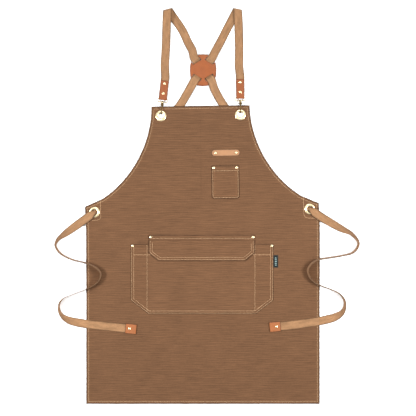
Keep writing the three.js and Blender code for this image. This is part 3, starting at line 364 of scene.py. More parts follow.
def label_finish():
    material, tree, surface = new_finish("woven_label", 0.7, sheen=0.1)
    where = put(tree, "ShaderNodeTexCoord").outputs["Object"]
    fine = threads(tree, where, "Y", 0.0005, 0.3)
    patches = stretched_noise(tree, where, (140, 500, 140), 3.0)
    middle = (np.array([*lie(TAG["x"], TAG["y"]), 0]) + SHIFT) / 1000
    centred = put(tree, "ShaderNodeVectorMath", {0: where, 1: tuple(middle)}, operation="SUBTRACT")
    axes = put(tree, "ShaderNodeSeparateXYZ", {0: centred.outputs[0]})
    across, along = (calc(tree, "ABSOLUTE", axes.outputs[k]) for k in (0, 1))
    bars = calc(tree, "GREATER_THAN", threads(tree, where, "Y", BAR_PITCH, 0.0), 0.62)
    inside = calc(tree, "MULTIPLY", calc(tree, "LESS_THAN", across, BAR_AREA[0]),
        calc(tree, "LESS_THAN", along, BAR_AREA[1]))
    pale = calc(tree, "ADD", calc(tree, "MULTIPLY", bars, inside), 0.5)
    paint(tree, surface, linear(30, 37, 36) / LIGHT_LEVEL, [
        (0.3, fine), (0.3, patches), (0.5, edge_of(tree)), (22.0, pale),
    ], 1.2)
    emboss(tree, surface, fine, 0.00008, 0.6)
    return material


strap_webbing = webbing_finish("strap_webbing", 0.74)
tie_webbing = webbing_finish("tie_webbing", 0.78)
tan_thread = thread_finish()
woven_label = label_finish()

# %% [markdown]
# ### Leather and brass
# Vegetable-tanned leather is a satin surface with a fine pebble grain, cloudy colour and edges that
# are burnished dark. Plated brass is a smooth metal whose polish varies a little where it has been
# handled.

# %% Leather and metal finishes
def leather_finish(name, colour, edge_share, roughness=0.5):
    material, tree, surface = new_finish(name, roughness, specular=0.35)
    where = put(tree, "ShaderNodeTexCoord").outputs["Object"]
    cells = put(tree, "ShaderNodeTexVoronoi", {"Vector": where, "Scale": 1100.0, "Randomness": 1.0})
    grain = calc(tree, "MULTIPLY", cells.outputs["Distance"], 1.2)
    pores = stretched_noise(tree, where, (800, 800, 800), 3.0)
    clouds = stretched_noise(tree, where, (48, 48, 48), 4.0)
    paint(tree, surface, colour, [
        (0.12, grain), (0.14, pores), (0.36, clouds), (edge_share, edge_of(tree)),
    ], 1.0 + edge_share / 2)
    rough = calc(tree, "ADD", roughness - 0.1, calc(tree, "MULTIPLY", clouds, 0.2))
    tree.links.new(rough, surface.inputs["Roughness"])
    emboss(tree, surface, calc(tree, "ADD", grain, pores), 0.00018, 0.7)
    return material


def metal_finish(name, colour, roughness):
    material, tree, surface = new_finish(name, roughness, metallic=1.0)
    where = put(tree, "ShaderNodeTexCoord").outputs["Object"]
    handled = stretched_noise(tree, where, (120, 120, 120), 4.0)
    fine = stretched_noise(tree, where, (1800, 1800, 1800), 2.0)
    paint(tree, surface, colour, [(0.12, handled), (0.06, fine)])
    rough = calc(tree, "ADD", roughness - 0.06, calc(tree, "MULTIPLY", handled, 0.14))
    tree.links.new(rough, surface.inputs["Roughness"])
    emboss(tree, surface, fine, 0.00003, 0.4)
    return material


russet_leather = leather_finish("russet_leather", linear(144, 75, 28) / LIGHT_LEVEL, -0.8)
tip_russet = leather_finish("tip_russet", linear(160, 92, 42) / LIGHT_LEVEL, -0.8)
pale_leather = leather_finish("pale_leather", linear(172, 124, 84) / LIGHT_LEVEL, -0.6)
loop_brass = metal_finish("loop_brass", linear(184, 168, 134), 0.26)
pale_brass = metal_finish("pale_brass", linear(232, 214, 172), 0.3)
# A darker copy of the brass for the hooks, gates, pins and washers: painted shade and painted dark
# reflection in the colour.
old_brass = metal_finish("old_brass", linear(92, 74, 44), 0.36)

# %% [markdown]
# ## Cloth pieces
# A cut piece of cloth is a grid: its rows run across from the left edge to the right edge of the
# pattern, closer together near the edges where the hem is. A second grid below it makes the back,
# and walls close the rim. Each point's distance to the cut edge shapes the hem, its stitch groove
# and the rounded fold.

# %% Grid and edge helpers
EDGE_STEPS = np.array([0, 0.35, 0.9, 1.7, 2.8, 4, 5.2, 6.2, 7, 7.8, 8.8, 9.8, 11, 13])


def spread(length, step, far=0.0):
    """Places from nought to length: the edge steps at both ends, then 2.2 mm as far as far, then
    step."""
    edge = np.concatenate([EDGE_STEPS, np.arange(EDGE_STEPS[-1] + 2.2, far, 2.2)])
    edge = edge[edge < length / 2 - step / 2]
    middle = np.linspace(edge[-1], length - edge[-1],
        max(2, int(round((length - 2 * edge[-1]) / step)) + 1))
    return np.concatenate([edge[:-1], middle, (length - edge[:-1])[::-1]])


def distance_to(points, outline):
    """Shortest distance from each point to the closed outline's sides."""
    start, end = outline, np.roll(outline, -1, axis=0)
    way = end - start
    nearest = np.full(len(points), 1e9)
    for a, d in zip(start, way):
        share = np.clip(((points - a) @ d) / max(d @ d, 1e-9), 0, 1)
        nearest = np.minimum(nearest, np.linalg.norm(points - a - share[:, None] * d, axis=1))
    return nearest


def ripple(x, y, size, seed):
    """Soft irregular waves between -1 and 1, the mean of six slanting sines of about one length."""
    draw = np.random.default_rng(seed)
    total = 0.0
    for angle, stretch, phase in zip(*(draw.uniform(0, 1, (3, 6)) * [[6.283], [0.9], [6.283]])):
        heading = x * np.cos(angle) + y * np.sin(angle)
        total = total + np.sin(heading / (size * (0.55 + stretch)) + phase)
    return total / 3


hardware_spots = []


def calm(x, y):
    """Nought close to rivets and eyelets, where the cloth is pressed flat, and one away from them.
    Nought close to rivets and eyelets, where the cloth is pressed flat, and one away from them."""
    share = np.ones(np.shape(x))
    for spot_x, spot_y in hardware_spots:
        share = share * smooth(np.hypot(x - spot_x, y - spot_y), 9, 42)
    return share


def drape(x, y):
    """The slight rise of cloth that lies on a floor: never below nought, flat where ties lie on
    it."""
    wave = 0.55 * (1 + ripple(x, y, 46, 5)) + 0.35 * (1 + ripple(x, y, 17, 8))
    hinge = 1 - (1 - smooth(np.abs(y - 487.1), 5, 34)) * (1 - smooth(np.abs(x), 165, 200))
    beside = 1 - (0.88 * smooth(np.abs(x), 232, 272)
        * smooth(y, 175, 205) * (1 - smooth(y, 600, 640)))
    return wave * beside * hinge * calm(x, y)


def closed_skin(low, keep=None):
    """Two grids of one size as one closed body: upper cells, lower cells turned round, and a wall on
    each cell side that has no neighbour; points of dropped cells go."""
    rows, columns = low.shape[:2]
    total = rows * columns
    cells = grid_faces(rows, columns)
    if keep is not None:
        cells = cells[keep.ravel()]
    start, end = cells.ravel(), np.roll(cells, -1, axis=1).ravel()
    lone = ~np.isin(start * total + end, end * total + start)
    a, b = start[lone], end[lone]
    faces = np.concatenate([cells + total, cells[:, ::-1],
        np.stack([a, b, b + total, a + total], -1)])
    used, faces = np.unique(faces, return_inverse=True)
    return used, faces.reshape(-1, 4)

# %% One cloth piece from its edges
class Cloth:
    """A cut piece between a left and a right edge, each a function of the height on the pattern."""

    def __init__(self, left, right, bottom, top, low, high, step=3.0, far=0.0, hem=0.0, grooves=(),
            puff=None, joined=None):
        self.left, self.right, self.bottom, self.top = left, right, bottom, top
        self.low, self.high, self.step, self.far = low, high, step, far
        self.hem, self.grooves, self.puff, self.joined = hem, grooves, puff, joined
        heights = np.linspace(bottom, top, 160)
        self.outline = np.concatenate([
            np.column_stack([right(heights), heights]),
            np.column_stack([left(heights), heights])[::-1],
        ])

    def surface(self, x, y, depth):
        """Height of the upper face: level, slight drape, hem layer, stitch grooves, puffed
        pockets."""
        x, y = np.asarray(x, float), np.asarray(y, float)
        _, lain = lie(x, y)
        relief = self.hem * (1 - smooth(depth, 8.6, 10.2))
        if self.joined is not None:
            relief = relief * smooth(np.abs(y - self.joined), 1, 5)
        for groove in self.grooves:
            relief = relief - 0.3 * np.exp(-((groove(x, y, depth)) / 1.2) ** 2)
        near_seam = np.exp(-((depth - 6) / 5) ** 2)
        relief = relief + 0.1 * near_seam * ripple(x, y, 2.4, 3)
        if self.puff is not None:
            relief = relief + self.puff(x, y)
        return lift(lain) + self.high + drape(x, y) + relief

    def top_at(self, x, y):
        """The upper face's height at a few points of the pattern."""
        points = np.column_stack([np.ravel(x), np.ravel(y)])
        return self.surface(points[:, 0], points[:, 1], distance_to(points, self.outline))

    def build(self, name, finish, body, stands_for, rows=None, holes=()):
        y = self.bottom + spread(self.top - self.bottom, self.step) if rows is None else rows
        left, right = self.left(y), self.right(y)
        widest = float((right - left).max())
        marks = spread(widest, self.step, self.far)
        zone = max(EDGE_STEPS[-1], self.far)
        width = (right - left)[:, None]
        fixed = np.minimum(marks, widest - marks)[None, :]
        from_left = marks[None, :] < widest / 2
        share = np.clip((marks[None, :] - zone) / (widest - 2 * zone), 0, 1)
        zone_here = np.minimum(zone, 0.42 * width)
        scaled = fixed * zone_here / zone
        middle = zone_here + share * (width - 2 * zone_here)
        offset = np.where(fixed < zone, np.where(from_left, scaled, width - scaled), middle)
        x = left[:, None] + offset
        y = np.broadcast_to(y[:, None], x.shape)
        points = np.column_stack([x.ravel(), y.ravel()])
        depth = distance_to(points, self.outline).reshape(x.shape)
        top = self.surface(x, y, depth)
        thick = self.high - self.low
        from_edge = 1 - np.minimum(depth, 1.1) / 1.1
        fold = 0.5 * thick * (1 - np.sqrt(np.clip(1 - from_edge ** 2, 0, 1)))
        lain_x, lain_y = lie(x, y)
        if self.joined is not None:
            fold = fold * smooth(np.abs(y - self.joined), 0.2, 1.6)
        bottom = lift(lain_y) + self.low + drape(x, y) + fold
        if self.puff is not None:
            bottom = bottom + self.puff(x, y)
        high = np.stack([lain_x, lain_y, top - fold - self.hem * (depth < 0.01)], -1)
        low = np.stack([lain_x, lain_y, bottom], -1)
        keep = None
        if holes:
            near = np.full(x.shape, 1e9)
            for hole_x, hole_y in holes:
                near = np.minimum(near, np.hypot(x - hole_x, y - hole_y))
            corners = np.minimum.reduce([
                near[:-1, :-1], near[1:, :-1], near[:-1, 1:], near[1:, 1:]])
            keep = corners > 8.9
        used, faces = closed_skin(low, keep)
        both = np.concatenate([low.reshape(-1, 3), high.reshape(-1, 3)])[used]
        # Edge attribute: rim darkens the cut edge of the canvas and groove darkens its stitch grooves,
        # both as painted shade. On the leather badge the rim is its burnished edge.
        rim = np.exp(-(depth.ravel() / 1.6) ** 2)
        if self.joined is not None:
            rim = rim * smooth(np.abs(y.ravel() - self.joined), 0.5, 3)
        # Makes the hem paler on the line where its folded layer ends.
        paler_ridge = 0.35 * np.exp(-((depth.ravel() - 9.4) / 0.9) ** 2) * (self.hem > 0)
        groove = sum(
            (0.3 * np.exp(-(g(x, y, depth).ravel() / 1.4) ** 2) for g in self.grooves),
            np.zeros(x.size),
        )
        edge = np.clip(np.concatenate([rim, np.maximum(rim, groove) - paler_ridge])[used], -1, 1)
        return add_piece(name, both, faces, finish, body, stands_for, edge=edge)


print("cloth pieces are ready to cut")

# %% [markdown]
# ### The body
# The body is one piece: a straight skirt, two armholes that curve in to the bib, and a straight
# top. The half width is a function of the height; the armhole is a cubic curve read back by
# interpolation. A hem is folded under all round and stitched 7 mm in, and the bib keeps a faint
# crease down its middle from having been folded for sale.

# %% Body panel
ARM_HANDLES = (100.0, 110.0)
ARM_SLOPE = np.array([0.84, -0.545]) / np.hypot(0.84, 0.545)


def half_width(y):
    """Half the body's width: a straight skirt to the waist corner, the corner's slope, then the armhole
    curve, which is a cubic Bezier from the end of the slope to the bib's top corner."""
    ends = np.array([
        [BIB_HALF, BODY_LENGTH], [BIB_HALF, BODY_LENGTH - ARM_HANDLES[0]],
        np.array(ARMHOLE_END) - ARM_SLOPE * ARM_HANDLES[1], ARMHOLE_END,
    ])
    t = np.linspace(1, 0, 200)[:, None]
    curve = ((1 - t) ** 3 * ends[0] + 3 * t * (1 - t) ** 2 * ends[1]
        + 3 * t ** 2 * (1 - t) * ends[2] + t ** 3 * ends[3])
    heights = np.concatenate([[0, WAIST_Y], curve[:, 1]])
    halves = np.concatenate([[SKIRT_HALF, SKIRT_HALF], curve[:, 0]])
    return np.interp(y, heights, halves)


POUCH = {"x": -2.5, "half": 210.5, "top": 472.6, "bottom": 266.4, "chamfer": (52, 40)}
FLAP = {"x": -3.6, "half": 156.5, "top": 487.1, "bottom": 422.7, "chamfer": (29, 23)}
BAND_TOP_Y = 499.7
CHEST = {"x": 70.0, "y": 654.4, "width": 82.0, "height": 99.0, "corner": 5.0}
BADGE = {"x": 72.0, "y": 740.8, "width": 83.0, "height": 19.0}
hardware_spots += [(side * BIB_EYELET[0], BIB_EYELET[1]) for _, side in SIDES]
hardware_spots += [(side * WAIST_EYELET[0], WAIST_EYELET[1]) for _, side in SIDES]
hardware_spots += [(POUCH["x"] + side * (POUCH["half"] - 5), POUCH["top"] - 5) for _, side in SIDES]
hardware_spots += [(FLAP["x"] + side * (FLAP["half"] - 5.5), 493.0) for _, side in SIDES]
hardware_spots += [(CHEST["x"] + side * (CHEST["width"] / 2 - 7),
    CHEST["y"] + CHEST["height"] / 2 - 7) for _, side in SIDES]
hardware_spots += [(208, TAG["y"] + off) for off in (-24, -8, 8, 24)]
hardware_spots += [
    (BADGE["x"] + side * (BADGE["width"] / 2 - 11.2), BADGE["y"]) for _, side in SIDES]


def hem_groove(x, y, depth):
    return depth - 7


def bib_crease(x, y, depth):
    """Distance from the fold down the middle of the bib; out of reach of it below the waist."""
    return np.where(y > 600, np.abs(x + 1.5) + 1.2, 60)


panel = Cloth(
    lambda y: -half_width(y), half_width, 0, BODY_LENGTH, 0.0, CANVAS, 5.0,
    hem=0.35, grooves=(hem_groove, bib_crease),
)
body_rows = np.unique(np.concatenate([
    EDGE_STEPS, np.arange(13, 545, 5), np.arange(545, 620, 2.2), np.arange(620, 830, 4.2),
    np.arange(830, BODY_LENGTH - 13, 2.2), BODY_LENGTH - EDGE_STEPS, [WAIST_Y, 611],
]))
panel_piece = panel.build(
    "apron_body", body_canvas, "root", ["apron_panel"], body_rows,
    holes=[(side * x, y) for _, side in SIDES for x, y in (BIB_EYELET, WAIST_EYELET)],
)

# %% [markdown]
# ### Pouch, flap, band and small pieces
# The pouch is a wide patch pocket with cut corners, divided in three by two stitch lines. Its flap
# hangs from a folded band, so the flap is a piece of its own that turns about the band's lower
# edge. The chest pocket, the facings behind the waist corners, the leather badge strip and the
# folded label in the pouch's side seam are cut in the same way.

# %% Pockets and small cloth
def chamfered_half(shape, bottom):
    """Half width at a height: full above the cut corners, shrinking in a straight line below them.
    Half width at a height: full above the cut corners, shrinking in a straight line below them."""
    cut_x, cut_y = shape["chamfer"]
    return lambda y: shape["half"] - cut_x * np.clip(1 - (y - bottom) / cut_y, 0, 1)


def seam(*distances):
    """Grooves at these distances from the edge of the piece."""
    return [lambda x, y, depth, d=d: depth - d for d in distances]


pouch_half = chamfered_half(POUCH, POUCH["bottom"])
DIVIDERS = (-165.2, 153.4)
pouch = Cloth(
    lambda y: POUCH["x"] - pouch_half(y), lambda y: POUCH["x"] + pouch_half(y),
    POUCH["bottom"], POUCH["top"], 1.3, 2.3, 4.0, hem=0.18,
    grooves=[*seam(2.2, 8.6), *[lambda x, y, depth, d=d: x - d for d in DIVIDERS]],
)
pouch_piece = pouch.build("pouch_cloth", pocket_canvas, "root", ["pouch_pocket"])
flap_half = chamfered_half(FLAP, FLAP["bottom"])
flap = Cloth(
    lambda y: FLAP["x"] - flap_half(y), lambda y: FLAP["x"] + flap_half(y),
    FLAP["bottom"], FLAP["top"] - 0.05, 2.6, 3.8, 3.6, hem=0.3, grooves=seam(4.6, 10.8),
    puff=lambda x, y: 2.4 * (1 - smooth(y, FLAP["bottom"], FLAP["bottom"] + 42)),
    joined=FLAP["top"],
)
flap_piece = flap.build("pouch_flap", pocket_canvas, "flap", ["pocket_flap"])
band = Cloth(
    lambda y: FLAP["x"] - FLAP["half"] + 0 * y, lambda y: FLAP["x"] + FLAP["half"] + 0 * y,
    FLAP["top"] + 0.05, BAND_TOP_Y, 1.3, 3.72, 3.6, grooves=[lambda x, y, depth: y - 489.6],
    joined=FLAP["top"],
)
band_piece = band.build("band_cloth", pocket_canvas, "root", ["flap_band"])
chest_shape = {
    "x": CHEST["x"], "half": CHEST["width"] / 2, "top": CHEST["y"] + CHEST["height"] / 2,
    "bottom": CHEST["y"] - CHEST["height"] / 2, "chamfer": (CHEST["corner"], CHEST["corner"]),
}
chest_half = chamfered_half(chest_shape, chest_shape["bottom"])
chest = Cloth(
    lambda y: CHEST["x"] - chest_half(y), lambda y: CHEST["x"] + chest_half(y),
    chest_shape["bottom"], chest_shape["top"], 1.3, 2.3, 3.0, hem=0.15,
    grooves=[*seam(3.8), lambda x, y, depth: y - (chest_shape["top"] - 16)],
)
chest_piece = chest.build("chest_cloth", pocket_canvas, "root", ["chest_pocket"])


def rounded_half(y):
    """Half width of a strip with half-round ends: a straight part and a quarter circle's cosine."""
    radius = BADGE["height"] / 2
    return BADGE["width"] / 2 - radius + np.sqrt(
        np.clip(radius ** 2 - (y - BADGE["y"]) ** 2, 0, None))


badge = Cloth(
    lambda y: BADGE["x"] - rounded_half(y), lambda y: BADGE["x"] + rounded_half(y),
    BADGE["y"] - BADGE["height"] / 2, BADGE["y"] + BADGE["height"] / 2, 1.3, 2.9, 1.2,
)
badge.build("badge_leather", pale_leather, "root", ["badge_strip"])
tag = Cloth(
    lambda y: TAG["x"] - 7 + 0 * y, lambda y: TAG["x"] + 7 + 0 * y,
    TAG["y"] - 18.3, TAG["y"] + 18.3, 1.3, 2.1, 1.2,
)
tag.build("tag_label", woven_label, "tag", ["side_tag"])
CORNER_SLOPE = 53 / 23
for word, side in SIDES:
    inner = 299.0
    outer = lambda y: np.maximum(inner + 0.6, np.minimum(342.5, 345 - (y - 585.5) * CORNER_SLOPE))
    edges = (lambda y: inner + 0 * y, outer) if side > 0 else (
        lambda y: -outer(y), lambda y: -inner + 0 * y)
    facing = Cloth(*edges, 543.0, 605.4, -1.1, -0.3, 2.4)
    facing.build(
        f"facing_cloth_{word}", body_canvas, "root", [f"waist_facing_{word}"],
        holes=[(side * WAIST_EYELET[0], WAIST_EYELET[1])],
    )

# %% [markdown]
# ### Stitches
# Each stitch is a short bead of thread that dives into the cloth at both ends. One bead is repeated
# along a line at an even pitch, with a little spread in its angle and length as a machine leaves.

# %% Stitch rows
BEAD_RINGS = np.array([[-0.5, 0.35, -0.3], [-0.3, 1, 0.0], [0.3, 1, 0.0], [0.5, 0.35, -0.3]])
STITCH_PITCH = 4.1
STITCH_LENGTH = 3.2
THREAD_R = 0.37


def even_points(path, pitch):
    """Points and headings at an even pitch along a chain of straight lines."""
    path = np.asarray(path, float)
    lengths = np.concatenate([[0], np.cumsum(np.linalg.norm(np.diff(path, axis=0), axis=1))])
    places = np.arange(pitch / 2, lengths[-1], pitch)
    spots = np.column_stack([np.interp(places, lengths, path[:, k]) for k in (0, 1)])
    ahead = np.column_stack([np.interp(places + 0.8, lengths, path[:, k]) for k in (0, 1)])
    before = np.column_stack([np.interp(places - 0.8, lengths, path[:, k]) for k in (0, 1)])
    way = ahead - before
    return spots, way / np.linalg.norm(way, axis=1)[:, None]


def stitch_beads(paths, height_at, seed=1, dip=0.3):
    """Beads of thread along paths: ring points placed by heading, side and up, for all stitches at
    once."""
    spots, ways = (np.concatenate(part) for part in zip(*(
        even_points(path, STITCH_PITCH) for path in paths)))
    draw = np.random.default_rng(seed)
    turn = draw.normal(0, 0.05, len(spots))
    ways = np.column_stack([
        ways[:, 0] * np.cos(turn) - ways[:, 1] * np.sin(turn),
        ways[:, 0] * np.sin(turn) + ways[:, 1] * np.cos(turn),
    ])
    length = STITCH_LENGTH * draw.uniform(0.92, 1.05, len(spots))
    angle = np.radians([45, 135, 225, 315])
    along = BEAD_RINGS[:, 0][None, :, None] * length[:, None, None]
    aside = BEAD_RINGS[:, 1][None, :, None] * THREAD_R * np.cos(angle)[None, None, :] * 1.25
    rise = (BEAD_RINGS[:, 1][None, :, None] * THREAD_R * np.sin(angle)
        + BEAD_RINGS[:, 2][None, :, None])
    x = spots[:, 0, None, None] + ways[:, 0, None, None] * along - ways[:, 1, None, None] * aside
    y = spots[:, 1, None, None] + ways[:, 1, None, None] * along + ways[:, 0, None, None] * aside
    ground = height_at(spots[:, 0], spots[:, 1])[:, None, None]
    lain_x, lain_y = lie(x, y)
    points = np.stack([lain_x, lain_y, ground + dip + rise], -1).reshape(len(spots), 16, 3)
    one = np.concatenate([grid_faces(4, 4, closed_columns=True), [[0, 1, 2, 3]],
        [[15, 14, 13, 12]]])
    faces = (one[None] + 16 * np.arange(len(spots))[:, None, None]).reshape(-1, 4)
    return points.reshape(-1, 3), faces


def stitched(name, shape, paths, body, seed):
    points, faces = stitch_beads(paths, shape.top_at, seed)
    return add_piece(name, points, faces, tan_thread, body)


def side_lines(shape, distance):
    """A line at a distance inside the sides, cut corners and bottom of a piece: each corner is where two
    of the edges meet after both have moved inwards by the distance."""
    cut_x, cut_y = shape["chamfer"]
    slant = np.hypot(cut_x, cut_y)
    half = np.array([
        [shape["half"] - distance, shape["top"] - distance],
        [shape["half"] - distance, shape["bottom"] + cut_y + distance * (slant - cut_y) / cut_x],
        [shape["half"] - cut_x + distance * (cut_x - slant) / cut_y, shape["bottom"] + distance],
    ])
    return np.concatenate([half * [-1, 1], half[::-1]]) + [shape["x"], 0]


def hem_line(distance):
    """Round the whole body at a distance inside its edge, following the armholes' normals."""
    y = np.concatenate([np.linspace(distance, WAIST_Y - 5, 60),
        np.linspace(WAIST_Y - 2, BODY_LENGTH - distance, 160)])
    x = half_width(y)
    edge = np.column_stack([x, y])
    way = np.gradient(edge, axis=0)
    way = way / np.linalg.norm(way, axis=1)[:, None]
    inner = edge + distance * np.column_stack([-way[:, 1], way[:, 0]])
    inner[0] = [SKIRT_HALF - distance, distance]
    inner[-1] = [BIB_HALF - distance, BODY_LENGTH - distance]
    mirrored = inner[::-1] * [-1, 1]
    return np.concatenate([inner, mirrored, inner[:1]])


def corner_line(side):
    """The stitch line that holds the facing behind a waist corner: down its inner side, then
    outwards."""
    return side * np.array([1.0, side]) * np.array([[299.5, 606], [299.5, 556], [303, 549],
        [312, 546], [340, 546]])


panel_paths = [hem_line(7), corner_line(-1), corner_line(1)]
stitched("body_stitches", panel, panel_paths, "root", 3)
pouch_paths = [side_lines(POUCH, 2.2), side_lines(POUCH, 8.6)]
pouch_paths += [np.array([[x, POUCH["top"] - 2], [x, POUCH["bottom"] + 9]]) for x in DIVIDERS]
pouch_paths += [np.array([[POUCH["x"] - POUCH["half"] + 9, 441],
    [POUCH["x"] + POUCH["half"] - 9, 441]])]
stitched("pouch_stitches", pouch, pouch_paths, "root", 4)
flap_paths = [side_lines(FLAP, 4.6), side_lines(FLAP, 10.8)]
stitched("flap_stitches", flap, flap_paths, "flap", 5)
stitched("band_stitches", band, [np.array([[-157, 489.6], [150, 489.6]])], "root", 6)
chest_top = chest_shape["top"]
chest_paths = [side_lines(chest_shape, 3.8),
    np.array([[CHEST["x"] - 38, chest_top - 16], [CHEST["x"] + 38, chest_top - 16]])]
stitched("chest_stitches", chest, chest_paths, "root", 7)

# %% [markdown]
# ## Webbing
# Cotton webbing is a woven band 25 mm wide and 1.6 mm thick with soft round edges. A band is a grid
# of middle points with the way its upper face looks at each; the skin is that grid moved up and
# down by half the thickness, which thins quickly at the edges.

# %% Band builder
BAND_SHARES = np.array([
    -0.5, -0.492, -0.474, -0.44, -0.38, -0.28, -0.16, -0.05, 0.05, 0.16, 0.28, 0.38, 0.44, 0.474,
    0.492, 0.5,
])


def edge_profile(shares, width, thick):
    """Share of the half thickness left at each place across: a quarter round at both edges."""
    inward = np.clip((0.5 - np.abs(shares)) * width / (0.6 * thick), 0, 1)
    return 0.3 + 0.7 * np.sqrt(np.clip(1 - (1 - inward) ** 2, 0, 1))


def band_skin(middle, up, thick, shares, width):
    """Closed skin round a grid of middle points (rows along, columns across) by its facing ways."""
    half = 0.5 * thick * edge_profile(shares, width, thick)
    half = np.broadcast_to(half, middle.shape[:2])[..., None]
    ring = np.concatenate([middle - half * up, (middle + half * up)[:, ::-1]], 1)
    rows, columns = ring.shape[:2]
    faces = grid_faces(rows, columns, closed_columns=True)
    c = np.arange(len(shares) - 1)
    cap = np.stack([c, c + 1, columns - 2 - c, columns - 1 - c], -1)
    faces = np.concatenate([faces, cap, (cap + (rows - 1) * columns)[:, ::-1]])
    return ring.reshape(-1, 3), faces


def band_lay(middle, shares, width):
    """Across and along of each skin point: across from the shares, along as the run of the middle
    line."""
    centre = middle.mean(1)
    run = np.concatenate([[0], np.cumsum(np.linalg.norm(np.diff(centre, axis=0), axis=1))])
    across = np.concatenate([shares, shares[::-1]]) * width
    return np.stack(np.broadcast_arrays(across[None, :], run[:, None]), -1)


def level_rows(middles, along, sign, width=WEB_WIDTH, shares=BAND_SHARES):
    """Middle points and ups of a band that lies level across its way."""
    side = np.column_stack([-along[:, 1], along[:, 0], 0 * along[:, 0]]) * sign
    side = side / np.linalg.norm(side, axis=1)[:, None]
    up = np.cross(along, side)
    up = up / np.linalg.norm(up, axis=1)[:, None]
    grid = middles[:, None] + side[:, None] * (shares * width)[None, :, None]
    return grid, np.broadcast_to(up[:, None], grid.shape)


def smooth_path(points, step):
    """A centripetal Catmull-Rom curve through points at an even step: each piece is the Barry-Goldman
    blend of its four neighbours, whose knots are the square roots of their distances."""
    points = np.asarray(points, float)
    padded = np.concatenate([[2 * points[0] - points[1]], points, [2 * points[-1] - points[-2]]])
    knots = np.concatenate([[0], np.cumsum(np.maximum(
        np.linalg.norm(np.diff(padded, axis=0), axis=1) ** 0.5, 1e-3,
    ))])
    u = np.linspace(0, 1, 48, endpoint=False)
    pieces = []
    for k in range(1, len(padded) - 2):
        p0, p1, p2, p3 = padded[k - 1:k + 3]
        k0, k1, k2, k3 = knots[k - 1:k + 3]
        t = (k1 + u * (k2 - k1))[:, None]
        a1 = (k1 - t) / (k1 - k0) * p0 + (t - k0) / (k1 - k0) * p1
        a2 = (k2 - t) / (k2 - k1) * p1 + (t - k1) / (k2 - k1) * p2
        a3 = (k3 - t) / (k3 - k2) * p2 + (t - k2) / (k3 - k2) * p3
        b1 = (k2 - t) / (k2 - k0) * a1 + (t - k0) / (k2 - k0) * a2
        b2 = (k3 - t) / (k3 - k1) * a2 + (t - k1) / (k3 - k1) * a3
        pieces.append((k2 - t) / (k2 - k1) * b1 + (t - k1) / (k2 - k1) * b2)
    fine = np.concatenate([*pieces, points[-1:]])
    run = np.concatenate([[0], np.cumsum(np.linalg.norm(np.diff(fine, axis=0), axis=1))])
    places = np.linspace(0, run[-1], max(2, int(run[-1] / step)))
    path = np.column_stack([np.interp(places, run, fine[:, k]) for k in range(fine.shape[1])])
    return path, places / run[-1]


def headings(path):
    way = np.gradient(path[:, :3], axis=0)
    return way / np.linalg.norm(way, axis=1)[:, None]

# %% [markdown]
# ### Hook ends
# At each bib eyelet hangs a snap hook, its loop, a leather tab folded round the loop and the end of
# the strap. They are worked out upright about the eyelet and then turned by the angle at which they
# lie.

# %% Hook end frames
HOOK_Z = 8.85
HOOK_TURN = {"left": -6.5, "right": 0.5}
LOOP = {"half": 15.2, "near": 40.5, "far": 50.2, "wire": 2.4, "corner": 3.0}
LEATHER = 1.6
TAB = {"width": 24.4, "length": 54.0, "air": 0.5, "nip": 8.0}
TAB_FOLD_Y = LOOP["far"] + LOOP["wire"] / 2 + TAB["air"]
TAB_END_Y = TAB_FOLD_Y + TAB["length"] - LEATHER
FLOOR_WEB = 0.8
CROSSING_WEB = 3.1
PATCH = {"x": 0.4, "y": 985.3, "half": (39.0, 47.0), "low": 4.5, "high": 6.9}
OVER_PATCH_WEB = 8.2


def hook_place(word, side, points):
    """Upright hook-end points turned about the eyelet's axis and moved to the eyelet."""
    x, y = lie(side * BIB_EYELET[0], BIB_EYELET[1])
    turn = np.radians(HOOK_TURN[word])
    points = np.asarray(points, float)
    return np.stack([
        x + points[..., 0] * np.cos(turn) - points[..., 1] * np.sin(turn),
        y + points[..., 0] * np.sin(turn) + points[..., 1] * np.cos(turn),
        HOOK_Z + points[..., 2],
    ], -1)

# %% [markdown]
# ### Shoulder straps
# Each strap leaves its tab, runs up, folds over at the shoulder, comes back down through two slots
# of the leather patch and goes under the bib to the far waist eyelet. The fold rolls the band round
# a level bar that crosses it askew, which is how a flat band turns a corner.

# %% Shoulder straps
STRAPS = {
    "left": {
        "side": -1, "radius": 8, "under_z": FLOOR_WEB,
        "front": [[4.7, 118, 3.6], [7, 160, 2.2], [9, 205, 6], [10.3, 238, 12.5]],
        "fold": [12.3, 276],
        "leaving": [0.5, -0.866], "back": [[0.476, 4.8], [0.776, 1.6]],
        "rim_top": [-1.276, 2.308], "rim_bottom": [1.324, -2.212], "below": [2.324, -3.972],
        "beside": [18.3, 50], "under": [[0.244, -24.7], [0.518, -39.4], [0.795, -32.7]],
    },
    "right": {
        "side": 1, "radius": 3, "under_z": CROSSING_WEB,
        "front": [[10.9, 118, 3.6], [10.5, 160, 1.8], [11.1, 205, 2.6], [12.3, 242, 4.6]],
        "fold": [14.8, 283],
        "leaving": [-0.454, -0.891], "back": [[0.464, -0.1], [0.735, 0.4]],
        "rim_top": [1.484, 2.308], "rim_bottom": [-1.576, -2.212], "below": [-2.636, -3.972],
        "beside": [13.3, 44], "under": [[0.241, 25.8], [0.517, 38.1], [0.794, 30.5]],
    },
}
SLOT_UPPER = np.array([19.8, 27.5])
SLOT_LOWER = np.array([18.3, -21.3])
STRAP_END = 14.0


def unit(vector):
    return np.asarray(vector, float) / np.linalg.norm(vector)


def between(start, end, share, bow):
    way = np.subtract(end, start)
    return start + way * share + unit([-way[1], way[0]]) * bow


